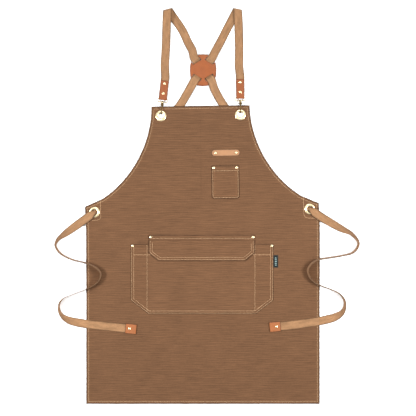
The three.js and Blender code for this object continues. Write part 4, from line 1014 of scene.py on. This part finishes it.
def under_points(word):
    """Where a strap passes below the patch and under the bib, and the waist eyelet it goes to."""
    strap = STRAPS[word]
    eyelet = np.array(lie(-strap["side"] * WAIST_EYELET[0], WAIST_EYELET[1]))
    inward, down = strap["beside"]
    beside = np.array([-strap["side"] * (BIB_EYELET[0] - inward), BODY_LENGTH - down])
    near = [PATCH["x"] + strap["below"][0] * WEB_WIDTH, PATCH["y"] + strap["below"][1] * WEB_WIDTH]
    onward = [between(beside, eyelet, share, bow) for share, bow in strap["under"]]
    return [np.array(near), beside, *onward], eyelet


def patch_crossing(side, under_z):
    """Over the upper rim, down its slot, under the patch, up the lower slot and over the lower
    rim."""
    middle = np.array([PATCH["x"], PATCH["y"]])
    upper = middle + SLOT_UPPER * [side, 1]
    lower = middle + SLOT_LOWER * [-side, 1]
    way = unit(lower - upper)
    runs = [
        (upper, -11, OVER_PATCH_WEB), (upper, -4, OVER_PATCH_WEB - 0.1), (upper, 4, under_z + 0.3),
        (upper, 10, under_z + 0.1), (lower, -10, under_z + 0.1), (lower, -4, under_z + 0.3),
        (lower, 4, OVER_PATCH_WEB - 0.1), (lower, 11, OVER_PATCH_WEB),
    ]
    return [[*(spot + way * run), z] for spot, run, z in runs]


def rolled_fold(start, heading, leaving, radius):
    """The band's plane rolled half round a level bar: the part of each point's run beyond the bar's line
    becomes an angle up to half a turn, and the rest carries on underneath."""
    axis = unit(heading + leaving)
    forward = unit(heading - axis * (heading @ axis))
    left = np.array([-heading[1], heading[0], 0.0])
    lead = abs(left @ forward) * WEB_WIDTH / 2 / (heading @ forward)
    span = np.pi * radius / (heading @ forward)
    s = np.arange(-lead, span + lead + 0.6, 1.2)[:, None]
    w = (BAND_SHARES * WEB_WIDTH)[None, :]
    along = s * (heading @ axis) + w * (left @ axis)
    reach = s * (heading @ forward) + w * (left @ forward)
    angle = np.clip(reach / radius, 0, np.pi)[..., None]
    beyond = np.where(reach > 0, np.minimum(0, np.pi * radius - reach), reach)[..., None]
    up = np.array([0, 0, 1.0])
    middle = start + axis * along[..., None] + forward * (radius * np.sin(angle) + beyond)
    middle = middle - up * radius * (1 - np.cos(angle))
    ups = forward * np.sin(angle) + up * np.cos(angle)
    leave = (start + axis * (heading @ axis) * (span + lead)
        - forward * (heading @ forward) * lead - 2 * radius * up)
    return middle, ups, lead, leave


def strap_grid(word):
    strap = STRAPS[word]
    side = strap["side"]
    from_tab = hook_place(word, side, [
        [0, TAB_FOLD_Y + LEATHER + 5, 0], [0, TAB_END_Y - 10, 0], [0, TAB_END_Y, 0],
        [0, TAB_END_Y + 10, -0.5],
    ])
    climb = [
        [side * (BIB_EYELET[0] - inward), BODY_LENGTH + rise, z]
        for inward, rise, z in strap["front"]]
    inward, rise = strap["fold"]
    start = np.array([side * (BIB_EYELET[0] - inward), BODY_LENGTH + rise,
        FLOOR_WEB + 2 * strap["radius"]])
    heading = unit([*(start - climb[-1])[:2], 0])
    leaving = unit([*strap["leaving"], 0])
    fold, fold_up, lead, leave = rolled_fold(start, heading, leaving, strap["radius"])
    front_path, _ = smooth_path([
        *from_tab, *climb, start - heading * (lead + 12), start - heading * lead,
    ], 2.5)
    front, front_up = level_rows(front_path, headings(front_path), 1)
    rim_top = np.array([PATCH["x"], PATCH["y"]]) + np.array(strap["rim_top"]) * WEB_WIDTH
    rim_bottom = np.array([PATCH["x"], PATCH["y"]]) + np.array(strap["rim_bottom"]) * WEB_WIDTH
    down = [
        [*between(leave[:2], rim_top, share, bow), FLOOR_WEB + rise]
        for (share, bow), rise in zip(strap["back"], (0.1, 1.0))
    ]
    under, eyelet = under_points(word)
    stop = eyelet - unit(eyelet - under[-1]) * (STRAP_END + GAP)
    back_path, _ = smooth_path([
        [*leave[:2], FLOOR_WEB], *down, [*rim_top, OVER_PATCH_WEB - 0.6],
        *patch_crossing(side, strap["under_z"]), [*rim_bottom, OVER_PATCH_WEB - 1.2],
        *[[*point, FLOOR_WEB + rise] for point, rise in zip(under, (0.8, 0.1, 0.1, 0.1, 0.1))],
        [*stop, FLOOR_WEB + 0.1],
    ], 2.5)
    back, back_up = level_rows(back_path, headings(back_path), -1)
    return (
        np.concatenate([front[:-1], fold, back[1:]]),
        np.concatenate([front_up[:-1], fold_up, back_up[1:]]),
    )


for word, side in SIDES:
    middle, up = strap_grid(word)
    points, faces = band_skin(middle, up, WEB, BAND_SHARES, WEB_WIDTH)
    add_piece(
        f"shoulder_strap_{word}", points, faces, strap_webbing, "root",
        [f"harness_strap_{word}"], lay=band_lay(middle, BAND_SHARES, WEB_WIDTH),
    )

# %% [markdown]
# ### Waist ties
# Each tie comes up through its waist eyelet, where the band is curled into a trough, spreads out,
# and falls off the body in two soft bends. Past the first bend it stands on its edge, as limp
# webbing does when it is dropped, and it lies flat again where it crosses the skirt.

# %% Waist ties
TIES = {
    "left": [
        [23.8, -18.2, 1.6, 10], [54.8, -40.7, 6, 22], [83.8, -62.2, 3, 42], [106.8, -81.2, 0.8, 72],
        [113.8, -97.7, 0.4, 88], [99.8, -120.7, 0.4, 90], [61.8, -140.2, 3.6, 90],
        [23.8, -149.5, 0.9, 90], [-7.7, -164.7, 0.9, 90], [-19.2, -181.7, 0.7, 90],
        [-10.2, -205.7, 0.8, 90], [21.8, -225.7, 0.6, 90], [54.8, -238.7, 1.6, 90],
        [95.8, -258.2, 0.4, 90], [104.3, -279.7, 0.4, 88], [96.3, -302.7, 0.4, 76],
        [74.8, -318.2, 1.2, 42], [43.8, -326.7, 1.5, 12], [9.8, -332.2, 0.5, 0],
        [-35.2, -337.2, 0.6, 0], [-70.2, -340.7, 2, 0], [-91.2, -342.7, 3.2, 0],
    ],
    "right": [
        [28.9, -20.7, 1.6, 10], [59.9, -39.7, 6, 22], [92.9, -58.7, 3, 42], [124.9, -75.7, 0.8, 70],
        [142.9, -102.2, 0.4, 88], [126.9, -127.7, 0.4, 90], [90.9, -137.7, 2, 90],
        [52.9, -143.7, 4.4, 90], [24.9, -148.7, 0.7, 90], [4.4, -160.7, 0.9, 90],
        [-6.6, -179.7, 0.9, 90], [-1.6, -199.7, 0.9, 90], [13.9, -216.2, 0.8, 90],
        [33.9, -226.7, 2.2, 90], [60.9, -236.7, 1.8, 90], [86.4, -249.7, 0.6, 90],
        [100.4, -267.2, 0.4, 88], [102.4, -285.2, 0.4, 82], [95.9, -303.2, 0.5, 66],
        [75.9, -317.7, 1, 36], [48.9, -326.7, 1.5, 10], [14.9, -333.7, 0.5, 0],
        [-30.1, -340.2, 0.6, 0], [-65.1, -344.2, 2, 0], [-86.1, -346.2, 3.2, 0],
    ],
}
HOLE_R = 8.25
FLANGE_R = 15.7
ROLL_HIGH = 1.35  # of the rolled rim over the flange
TIE_STAND = {"left": 87.5, "right": 84.0}
TIP = {"width": 29.0, "length": 32.0, "rivet": 20.0, "leather": 1.4}


def tie_route(word, side):
    """Middle points with width, stand and trough at each: through the eyelet first, then outwards.
    Middle points with width, stand and trough at each: through the eyelet first, then outwards."""
    eyelet = np.array(lie(side * WAIST_EYELET[0], WAIST_EYELET[1]))
    under, _ = under_points("right" if side < 0 else "left")
    inward = unit(eyelet - under[-1])
    rows = []
    for out, rise, clearance, stand in TIES[word]:
        x, y = eyelet[0] + side * out, eyelet[1] + rise
        rest = lift(y) + CANVAS if abs(x) < SKIRT_HALF else 0
        angle = np.radians(min(stand, TIE_STAND[word]))
        half = WEB_WIDTH / 2 * np.sin(angle) + WEB / 2 * np.cos(angle)
        rows.append([x, y, rest + clearance + half, WEB_WIDTH, angle, 0.0])
    rows[0][5] = 1.2
    outward = unit(np.array(rows[0][:2]) - eyelet)
    top = float(lift(eyelet[1])) + CANVAS + GAP + 1.2
    start = [
        [*(eyelet - inward * STRAP_END), FLOOR_WEB, WEB_WIDTH, 0, 0],
        [*(eyelet - inward * 6), FLOOR_WEB + 0.5, 12.5, 0, 1.0],
        [*(eyelet - outward * GAP), LIFT + 1.4, 10.5, 0, 4.5],
        [*(eyelet + outward * 5.6), top + 1.6, 15.5, 0, 5.8],
        [*(eyelet + outward * (FLANGE_R + GAP)), top + 1.7, 24.5, 0, 2.8],
    ]
    return np.array(start + rows)


tie_paths = {}
for word, side in SIDES:
    route = tie_route(word, side)
    path, _ = smooth_path(route[:, :3], 2.5)
    way = headings(path)
    nearest = [int(np.argmin(((path - spot) ** 2).sum(1))) for spot in route[:, :3]]
    keys = np.maximum.accumulate(np.array(nearest) + np.arange(len(nearest)) * 1e-6)
    width, stand, trough = (np.interp(np.arange(len(path)), keys, route[:, k]) for k in (3, 4, 5))
    tuck = path[-1] + unit([*way[-1][:2], 0]) * np.array([
        [1.5], [TIP["length"] - TIP["leather"] - 1.5]])
    path, way = np.concatenate([path, tuck]), np.concatenate([way, [way[-1] * [1, 1, 0]] * 2])
    width, stand, trough = (
        np.concatenate([part, part[-1:], part[-1:]]) for part in (width, stand, trough))
    level = np.column_stack([-way[:, 1], way[:, 0], 0 * stand])
    level = level / np.linalg.norm(level, axis=1)[:, None] * np.cos(stand)[:, None]
    across = level + np.column_stack([0 * stand, 0 * stand, side * np.sin(stand)])
    across = across - way * (across * way).sum(1)[:, None]
    across = across / np.linalg.norm(across, axis=1)[:, None]
    up = np.cross(way, across)
    middle = path[:, None] + across[:, None] * (BAND_SHARES[None, :] * width[:, None])[..., None]
    bowl = (trough[:, None] * (2 * BAND_SHARES[None, :]) ** 2)[..., None]
    middle = middle + up[:, None] * bowl
    slope = 8 * trough[:, None] * BAND_SHARES[None, :] / width[:, None]
    ups = up[:, None] - across[:, None] * slope[..., None]
    ups = ups / np.linalg.norm(ups, axis=2)[..., None]
    points, faces = band_skin(middle, ups, WEB, BAND_SHARES, WEB_WIDTH)
    piece = add_piece(
        f"tie_webbing_{word}", points, faces, tie_webbing, "root", [f"waist_tie_{word}"],
        lay=band_lay(middle, BAND_SHARES, WEB_WIDTH),
    )
    tie_paths[word] = (piece, path, way)

# %% [markdown]
# ## Leather
# Tabs and tie tips are strips folded in half round what they hold, so they are bands that follow a
# folded line seen from the side. Their ends are cut straight with barely rounded corners.

# %% Folded leather
LEATHER_SHARES = np.array([-0.5, -0.49, -0.465, -0.42, -0.3, -0.15, 0, 0.15, 0.3, 0.42, 0.465,
    0.49, 0.5])


def smooth_line(line, step):
    """Points at an even step along a chain of straight lines in the side view."""
    line = np.asarray(line, float)
    run = np.concatenate([[0], np.cumsum(np.linalg.norm(np.diff(line, axis=0), axis=1))])
    places = np.linspace(0, run[-1], int(run[-1] / step) + 1)
    return np.column_stack([np.interp(places, run, line[:, k]) for k in (0, 1)]), places / run[-1]


def folded_leather(name, line, thick, width, place, finish, stands_for):
    """A strip of a width along a line in the side view (run and height); it is as wide as a rounded
    corner allows at its two ends."""
    path, share = smooth_line(line, 0.9)
    run = share * np.linalg.norm(np.diff(path, axis=0), axis=1).sum()
    from_end = np.minimum(run, run[-1] - run)
    corner = 2.2
    inset = corner - np.sqrt(
        np.clip(corner ** 2 - np.clip(corner - from_end, 0, None) ** 2, 0, None))
    middles = np.column_stack([0 * run, path])
    way = headings(middles)
    up = np.cross(way, np.array([-1.0, 0, 0]))
    offset = LEATHER_SHARES[None, :] * (width - 2 * inset[:, None])
    grid = middles[:, None] + offset[..., None] * np.array([-1.0, 0, 0])
    ups = np.broadcast_to(up[:, None], grid.shape)
    points, faces = band_skin(grid, ups, thick, LEATHER_SHARES, width)
    side_edge = np.exp(-(((0.5 - np.abs(LEATHER_SHARES)) * width) / 1.1) ** 2)
    edge = np.maximum(side_edge[None, :], np.exp(-(from_end / 1.1) ** 2)[:, None])
    edge = np.concatenate([edge, edge[:, ::-1]], 1)
    return add_piece(name, place(points), faces, finish, "root", stands_for,
        edge=edge)


for word, side in SIDES:
    bulge = LOOP["wire"] / 2 + TAB["air"] + LEATHER / 2
    leaf = WEB / 2 + 0.12 + LEATHER / 2
    turn = np.radians(np.linspace(90, 270, 25))
    bend = np.column_stack([LOOP["far"] + bulge * np.cos(turn), bulge * np.sin(turn)])
    nip = LOOP["far"] + TAB["nip"]
    ease = np.linspace(0, 1, 9)[1:-1]
    swell = leaf + (bulge - leaf) * (3 * ease ** 2 - 2 * ease ** 3)
    upper = np.column_stack([nip + (LOOP["far"] - nip) * ease, swell])
    lower = (upper * [1, -1])[::-1]
    line = np.concatenate([[[TAB_END_Y, leaf], [nip, leaf]], upper, bend, lower,
        [[nip, -leaf], [TAB_END_Y, -leaf]]])
    folded_leather(
        f"tab_leather_{word}", line, LEATHER, TAB["width"],
        lambda points, w=word, s=side: hook_place(w, s, points), russet_leather,
        [f"shoulder_tab_{word}"],
    )

for word, side in SIDES:
    _, path, way = tie_paths[word]
    end = path[-3]
    turn = np.arctan2(way[-3][1], way[-3][0])
    leaf = WEB / 2 + 0.12 + TIP["leather"] / 2
    arc = np.radians(np.linspace(90, -90, 13))
    round_x = TIP["length"] - leaf
    bend = np.column_stack([round_x + 0.8 * leaf * np.cos(arc), leaf * np.sin(arc)])
    line = np.concatenate([[[0, leaf]], bend, [[0, -leaf]]])

    def place(points, end=end, turn=turn):
        run, aside = points[..., 1], -points[..., 0]
        return np.stack([
            end[0] + run * np.cos(turn) - aside * np.sin(turn),
            end[1] + run * np.sin(turn) + aside * np.cos(turn),
            end[2] + points[..., 2],
        ], -1)

    folded_leather(
        f"tip_leather_{word}", line, TIP["leather"], TIP["width"], place, tip_russet,
        [f"tie_tip_{word}"],
    )

# %% [markdown]
# ### Cross patch
# The patch is a barrel-shaped piece of thick leather with four slots. Its outline and slots are
# taken over from the frame's own piece, and its cut edges are rounded off, as edges are that have
# been sanded and burnished. The darker rim comes from the distance to the barrel outline.

# %% Cross patch
def patch_finish():
    material, tree, surface = new_finish("patch_leather", 0.42, specular=0.3)
    where = put(tree, "ShaderNodeTexCoord").outputs["Object"]
    middle = (np.array([PATCH["x"], PATCH["y"], 0]) + SHIFT) / 1000
    centred = put(tree, "ShaderNodeVectorMath", {0: where, 1: tuple(middle)}, operation="SUBTRACT")
    axes = put(tree, "ShaderNodeSeparateXYZ", {0: centred.outputs[0]})
    half_wide, half_high = (half / 1000 for half in PATCH["half"])
    across = calc(tree, "POWER", calc(tree, "ABSOLUTE",
        calc(tree, "DIVIDE", axes.outputs[0], half_wide)), 2.4)
    upward = calc(tree, "POWER", calc(tree, "ABSOLUTE",
        calc(tree, "DIVIDE", axes.outputs[1], half_high)), 2.4)
    out = calc(tree, "ADD", across, upward)
    rim = put(tree, "ShaderNodeMapRange", {
        "Value": out, "From Min": 0.80, "From Max": 1.0, "To Min": 0.0, "To Max": 1.0,
    }).outputs[0]
    cells = put(tree, "ShaderNodeTexVoronoi", {"Vector": where, "Scale": 900.0}).outputs["Distance"]
    pores = stretched_noise(tree, where, (700, 700, 700), 3.0)
    clouds = stretched_noise(tree, where, (55, 55, 55), 4.0)
    paint(tree, surface, linear(150, 79, 32) / LIGHT_LEVEL,
        [(0.12, cells), (0.14, pores), (0.5, clouds), (-0.5, rim)], 0.78)
    rough = calc(tree, "ADD", 0.34, calc(tree, "MULTIPLY", clouds, 0.18))
    tree.links.new(rough, surface.inputs["Roughness"])
    emboss(tree, surface, calc(tree, "ADD", cells, pores), 0.0002, 0.7)
    return material


def carried_copy(node, name, finish, body, bevel):
    """A copy of a frame piece with its points merged and its edges rounded by a bevel."""
    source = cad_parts[node]
    mesh = source.data.copy()
    mesh.transform(source.matrix_world)
    mesh.materials.clear()
    mesh.materials.append(finish)
    work = bmesh.new()
    work.from_mesh(mesh)
    bmesh.ops.remove_doubles(work, verts=work.verts, dist=1e-6)
    bmesh.ops.dissolve_limit(work, angle_limit=0.01, verts=work.verts, edges=work.edges)
    work.to_mesh(mesh)
    work.free()
    mesh.polygons.foreach_set("use_smooth", np.ones(len(mesh.polygons), bool))
    piece = bpy.data.objects.new(name, mesh)
    bpy.context.scene.collection.objects.link(piece)
    rounding = piece.modifiers.new("rounding", "BEVEL")
    rounding.width, rounding.segments, rounding.limit_method = bevel, 3, "ANGLE"
    rounding.angle_limit = np.radians(40)
    rounding.harden_normals = True
    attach(piece, body)
    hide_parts(node)
    print(f"{name}: {len(mesh.polygons)} faces before rounding")
    return piece


carried_copy("cross_patch", "crossing_patch", patch_finish(), "root", 0.0006)

# %% [markdown]
# ## Metal
# Turned pieces are a profile run round an axis, and wire is a ring carried along a line. Eyelets
# have a rolled crown, rivets a low dome, and the hooks are a bent wire with a swivel knob.

# %% Turned and drawn metal
def ring_cap(count, first=0):
    """Quads that close a ring with an even number of points."""
    c = np.arange(count // 2 - 1)
    return np.stack([c, c + 1, count - 2 - c, count - 1 - c], -1) + first


def lathe(profile, centre=(0, 0, 0), axis="Z", sides=28, closed=False):
    """Radius and height pairs run round an axis; a closed profile makes a ring."""
    profile = np.asarray(profile, float)
    angle = np.linspace(0, 2 * np.pi, sides, endpoint=False)
    radius, height = profile[:, :1], np.broadcast_to(profile[:, 1:], (len(profile), sides))
    a, b = radius * np.cos(angle), radius * np.sin(angle)
    points = np.stack([a, b, height] if axis == "Z" else [a, height, b], -1)
    points = points + np.asarray(centre, float)
    faces = grid_faces(len(profile), sides, closed, True)
    if not closed:
        faces = np.concatenate([faces, ring_cap(sides)[:, ::-1],
            ring_cap(sides, (len(profile) - 1) * sides)])
    return points.reshape(-1, 3), faces


def rod(path, half_a, half_b, reference, power=2.0, sides=20, closed=False, blunt=0.0):
    """A superellipse section carried along a path; the reference way sets one axis of the section, and
    blunt is the length over which the ends are rounded off."""
    path = np.asarray(path, float)
    way = np.roll(path, -1, 0) - np.roll(path, 1, 0) if closed else np.gradient(path, axis=0)
    way = way / np.linalg.norm(way, axis=1)[:, None]
    first = np.cross(way, reference)
    first = first / np.linalg.norm(first, axis=1)[:, None]
    second = np.cross(way, first)
    angle = np.linspace(0, 2 * np.pi, sides, endpoint=False)
    a = half_a * np.sign(np.cos(angle)) * np.abs(np.cos(angle)) ** (2 / power)
    b = half_b * np.sign(np.sin(angle)) * np.abs(np.sin(angle)) ** (2 / power)
    scale = np.ones(len(path))
    if blunt:
        run = np.concatenate([[0], np.cumsum(np.linalg.norm(np.diff(path, axis=0), axis=1))])
        inward = np.clip(np.minimum(run, run[-1] - run) / blunt, 0, 1)
        scale = 0.25 + 0.75 * np.sqrt(1 - (1 - inward) ** 2)
    points = path[:, None] + scale[:, None, None] * (
        a[None, :, None] * first[:, None] + b[None, :, None] * second[:, None]
    )
    faces = grid_faces(len(path), sides, closed, True)
    if not closed:
        faces = np.concatenate([faces, ring_cap(sides)[:, ::-1],
            ring_cap(sides, (len(path) - 1) * sides)])
    return points.reshape(-1, 3), faces


def straight(start, end, count=14, ends=0.9):
    """Points from start to end, closer together at the ends."""
    share = np.linspace(0, 1, count)
    share = share + (np.sin(2 * np.pi * share) / (2 * np.pi)) * -ends
    return np.asarray(start, float) + share[:, None] * (np.asarray(end, float) - start)


def node_centre(node):
    """Middle, lowest and highest point of a frame piece, in pattern millimetres."""
    low, high = (1000 * np.array(corner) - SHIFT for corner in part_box(node))
    return (low + high) / 2, low[2], high[2]

# %% Eyelets and rivets
for where in ("bib", "waist"):
    for word, side in SIDES:
        middle, low, high = node_centre(f"{where}_eyelet_{word}")
        crown = np.radians(np.linspace(200, -20, 15))
        middle_r, half_r = (HOLE_R + FLANGE_R) / 2, (FLANGE_R - HOLE_R) / 2
        arch = [(middle_r + half_r * np.cos(a),
            high - ROLL_HIGH + ROLL_HIGH * max(np.sin(a), 0)) for a in crown]
        inner = [(HOLE_R, low), (HOLE_R, low + 0.6), (HOLE_R, high - 1.5)]
        outer = [(FLANGE_R, high - 1.2), (FLANGE_R - 0.3, high - 1.5), (HOLE_R + 0.6, high - 1.5),
            (HOLE_R + 0.5, low)]
        points, faces = lathe([*inner, *arch[1:-1], *outer], (middle[0], middle[1], 0), sides=48,
            closed=True)
        add_piece(
            f"{where}_eyelet_ring_{word}", points, faces, pale_brass, "root",
            [f"{where}_eyelet_{word}"],
        )
        washer = f"{where}_eyelet_{word}_washer"
        middle, low, high = node_centre(washer)
        points, faces = lathe([
            (HOLE_R + 0.6, low + 0.15), (HOLE_R + 1, low), (13.9, low), (14.5, low + 0.25),
            (14.5, high - 0.1),
            (14.2, high), (HOLE_R + 0.9, high), (HOLE_R + 0.6, high - 0.1),
        ], (middle[0], middle[1], 0), sides=48, closed=True)
        add_piece(f"{where}_washer_{word}", points, faces, old_brass, "root",
            [washer])

rivet_nodes = [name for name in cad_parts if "rivet" in name]
DOME = [(np.cos(a), np.sin(a)) for a in np.radians([0, 14, 30, 47, 64, 80])]
for name in sorted(rivet_nodes):
    middle, low, high = node_centre(name)
    seat, back = high - 1.5, low + 0.9
    profile = [(0.06, low), (2.9, low + 0.08), (3.6, low + 0.4), (3.7, back), (1.5, back),
        (1.5, seat), (3.6, seat)]
    profile += [(3.75 * r, seat + 0.2 + 1.3 * h) for r, h in DOME] + [(0.06, high)]
    points, faces = lathe(profile, (middle[0], middle[1], 0), sides=24)
    body = "flap" if name.startswith("flap_rivet") else "root"
    made = add_piece(f"{name}_dome", points, faces, pale_brass, body, [name])

# %% [markdown]
# ### Snap hooks
# The hook's wire starts at the knob, bows back below the swivel line, goes round the eyelet's wall
# and comes forward to a nose. A sprung gate closes the gap between nose and cheeks.

# %% Snap hooks
def cubic(ends, count=12):
    t = np.linspace(0, 1, count)[:, None]
    a, b, c, d = (np.asarray(end, float) for end in ends)
    return (1 - t) ** 3 * a + 3 * t * (1 - t) ** 2 * b + 3 * t ** 2 * (1 - t) * c + t ** 3 * d


NOSE_Z = 13.5 / 2
BOW_Y = 12.0
KAPPA = 0.5523 * NOSE_Z
spine = cubic([(0, 34.5, -1), (0, 30.5, -3), (0, 28, -NOSE_Z), (0, 24, -NOSE_Z)])
lower_bow = cubic([(0, BOW_Y, -NOSE_Z), (0, BOW_Y - KAPPA, -NOSE_Z), (0, BOW_Y - NOSE_Z, -KAPPA),
    (0, BOW_Y - NOSE_Z, 0)])
upper_bow = cubic([(0, BOW_Y - NOSE_Z, 0), (0, BOW_Y - NOSE_Z, KAPPA), (0, BOW_Y - KAPPA, NOSE_Z),
    (0, BOW_Y, NOSE_Z)])
nose = np.array([[0, y, NOSE_Z] for y in (12.8, 13.5, 14.1, 14.5, 14.8, 15.0)])
spine_line = np.array([[0, y, -NOSE_Z] for y in (21, 18, 15, 13)])
hook_line = np.concatenate([spine, spine_line, lower_bow, upper_bow[1:], nose])
corner_angles = np.radians(np.linspace(0, 90, 6))
corners = []
for k, (sx, sy) in enumerate([(1, -1), (1, 1), (-1, 1), (-1, -1)]):
    reach = LOOP["half"] - LOOP["wire"] / 2
    radius = LOOP["corner"] - LOOP["wire"] / 2
    low, high = LOOP["near"], LOOP["far"]
    spot = np.array([sx * (reach - radius), (high - radius) if sy > 0 else (low + radius)])
    angle = corner_angles + np.radians(-90 + 90 * k)
    corners.append(np.column_stack([spot[0] + radius * np.cos(angle),
        spot[1] + radius * np.sin(angle), 0 * angle]))
loop_line = np.concatenate(corners)

for word, side in SIDES:
    knob = lathe([
        (0.06, 29.3), (2.2, 29.3), (3.2, 29.5), (4, 30.7), (4, 32.6), (3.6, 33), (3.6, 33.4),
        (4, 33.8), (4, 37.2), (3.4, 38.2), (1.7, 38.2), (1.7, 42.9), (2.7, 42.9), (3, 43.2),
        (3, 44.1), (2.4, 44.5),
        (0.06, 44.5),
    ], axis="Y")
    cheeks = [
        rod(straight((s * 2.7, 31.5, -0.5), (s * 2.7, 31.5, NOSE_Z + 2)), 0.7, 3.4, (1, 0, 0), 4,
        20, blunt=1.6)
        for s in (-1, 1)
    ]
    points, faces = join_parts(rod(hook_line, 1.8, 1.8, (1, 0, 0), blunt=1.2), knob, *cheeks)
    add_piece(
        f"snap_hook_{word}", hook_place(word, side, points), faces, old_brass, f"hook_{word}",
        [f"hook_body_{word}"],
    )
    points, faces = rod(straight((0, 15.3, NOSE_Z), (0, 32.8, NOSE_Z)), 1.6, 1.3, (0, 0, 1), 4, 20,
        blunt=0.8)
    add_piece(
        f"snap_gate_{word}", hook_place(word, side, points), faces, old_brass, f"gate_{word}",
        [f"hook_gate_{word}"],
    )
    points, faces = rod(straight((-3.9, 31.5, NOSE_Z), (3.9, 31.5, NOSE_Z)), 0.9, 0.9, (0, 0, 1),
        2, 16, blunt=0.5)
    add_piece(
        f"snap_gate_pin_{word}", hook_place(word, side, points), faces, old_brass, f"hook_{word}",
        [f"hook_gate_pin_{word}"],
    )
    boss = lathe([(2.0, 38.5), (3.2, 38.5), (3.6, 38.9), (3.6, 42.2), (3.2, 42.5), (2.0, 42.5)],
        axis="Y", closed=True)
    points, faces = join_parts(rod(loop_line, 1.2, 1.2, (0, 0, 1), 3, 20, closed=True), boss)
    add_piece(
        f"loop_wire_{word}", hook_place(word, side, points), faces, loop_brass, "root",
        [f"strap_loop_{word}"],
    )

# %% [markdown]
# ## What is soft
# The two waist ties are webbing that hangs loose from its eyelet and ends in a leather tip, and the cut
# cloth pieces lie flat. Below, each tie's line and eyelet and each cloth piece's width are worked out,
# and nothing more is done with them.

# %% Soft pieces: lines and widths
for word, side in SIDES:
    piece, path, _ = tie_paths[word]
    line = (path + SHIFT) / 1000
    eyelet_x, eyelet_y = lie(side * WAIST_EYELET[0], WAIST_EYELET[1])


for shape, piece, rests in (
    (panel, panel_piece, ()), (pouch, pouch_piece, ("apron_body",)),
    (flap, flap_piece, ("pouch_cloth",)),
    (band, band_piece, ("apron_body",)), (chest, chest_piece, ("apron_body",)),
):
    width = float(np.ptp(shape.outline[:, 0])) / 1000

# %% [markdown]
# ## Floor and light
# The floor is plain and almost white. Two large soft lights stand left and right, a little towards
# the hem, so that standing webbing throws its soft shadow inwards and upwards; the room fills the
# rest.

# %% Floor and light
def plain_finish():
    material, tree, surface = new_finish("studio_floor", 0.95)
    where = put(tree, "ShaderNodeTexCoord").outputs["Object"]
    clouds = stretched_noise(tree, where, (0.6, 0.6, 0.6), 2.0)
    paint(tree, surface, (0.93, 0.93, 0.93), [(0.01, clouds)])
    surface.inputs["Specular IOR Level"].default_value = 0.0
    return material


floor_mesh = bpy.data.meshes.new("studio_floor")
floor_mesh.from_pydata([(-5, -5, 0), (5, -5, 0), (5, 5, 0), (-5, 5, 0)], [], [(0, 1, 2, 3)])
floor_mesh.materials.append(plain_finish())
floor = bpy.data.objects.new("studio_floor", floor_mesh)
bpy.context.scene.collection.objects.link(floor)


def soft_light(name, place, size, energy):
    data = bpy.data.lights.new(name, "AREA")
    data.shape, data.size, data.size_y, data.energy = "RECTANGLE", size, size, energy
    lamp = bpy.data.objects.new(name, data)
    lamp.location = place
    way = -np.array(place)
    lamp.rotation_euler = (
        np.arctan2(np.hypot(way[0], way[1]), -way[2]), 0, np.arctan2(way[1], way[0]) - np.pi / 2,
    )
    bpy.context.scene.collection.objects.link(lamp)
    return lamp


SIDE_LIGHT = 46.0
TOP_LIGHT = 28.0
ROOM_LIGHT = 0.56
soft_light("soft_left", (-1.3, -0.15, 1.55), 0.4, SIDE_LIGHT)
soft_light("soft_right", (1.3, -0.15, 1.55), 0.4, SIDE_LIGHT)
soft_light("soft_top", (0.0, 1.5, 2.4), 1.2, TOP_LIGHT)
room = bpy.data.worlds.new("white_room")
bpy.context.scene.world = room
room.use_nodes = True
seen = put(room.node_tree, "ShaderNodeLightPath").outputs["Is Camera Ray"]
strength = calc(room.node_tree, "MAXIMUM", seen, ROOM_LIGHT)
background = room.node_tree.nodes["Background"]
background.inputs["Color"].default_value = (1, 1, 1, 1)
room.node_tree.links.new(strength, background.inputs["Strength"])
bpy.context.scene.view_settings.view_transform = "Standard"
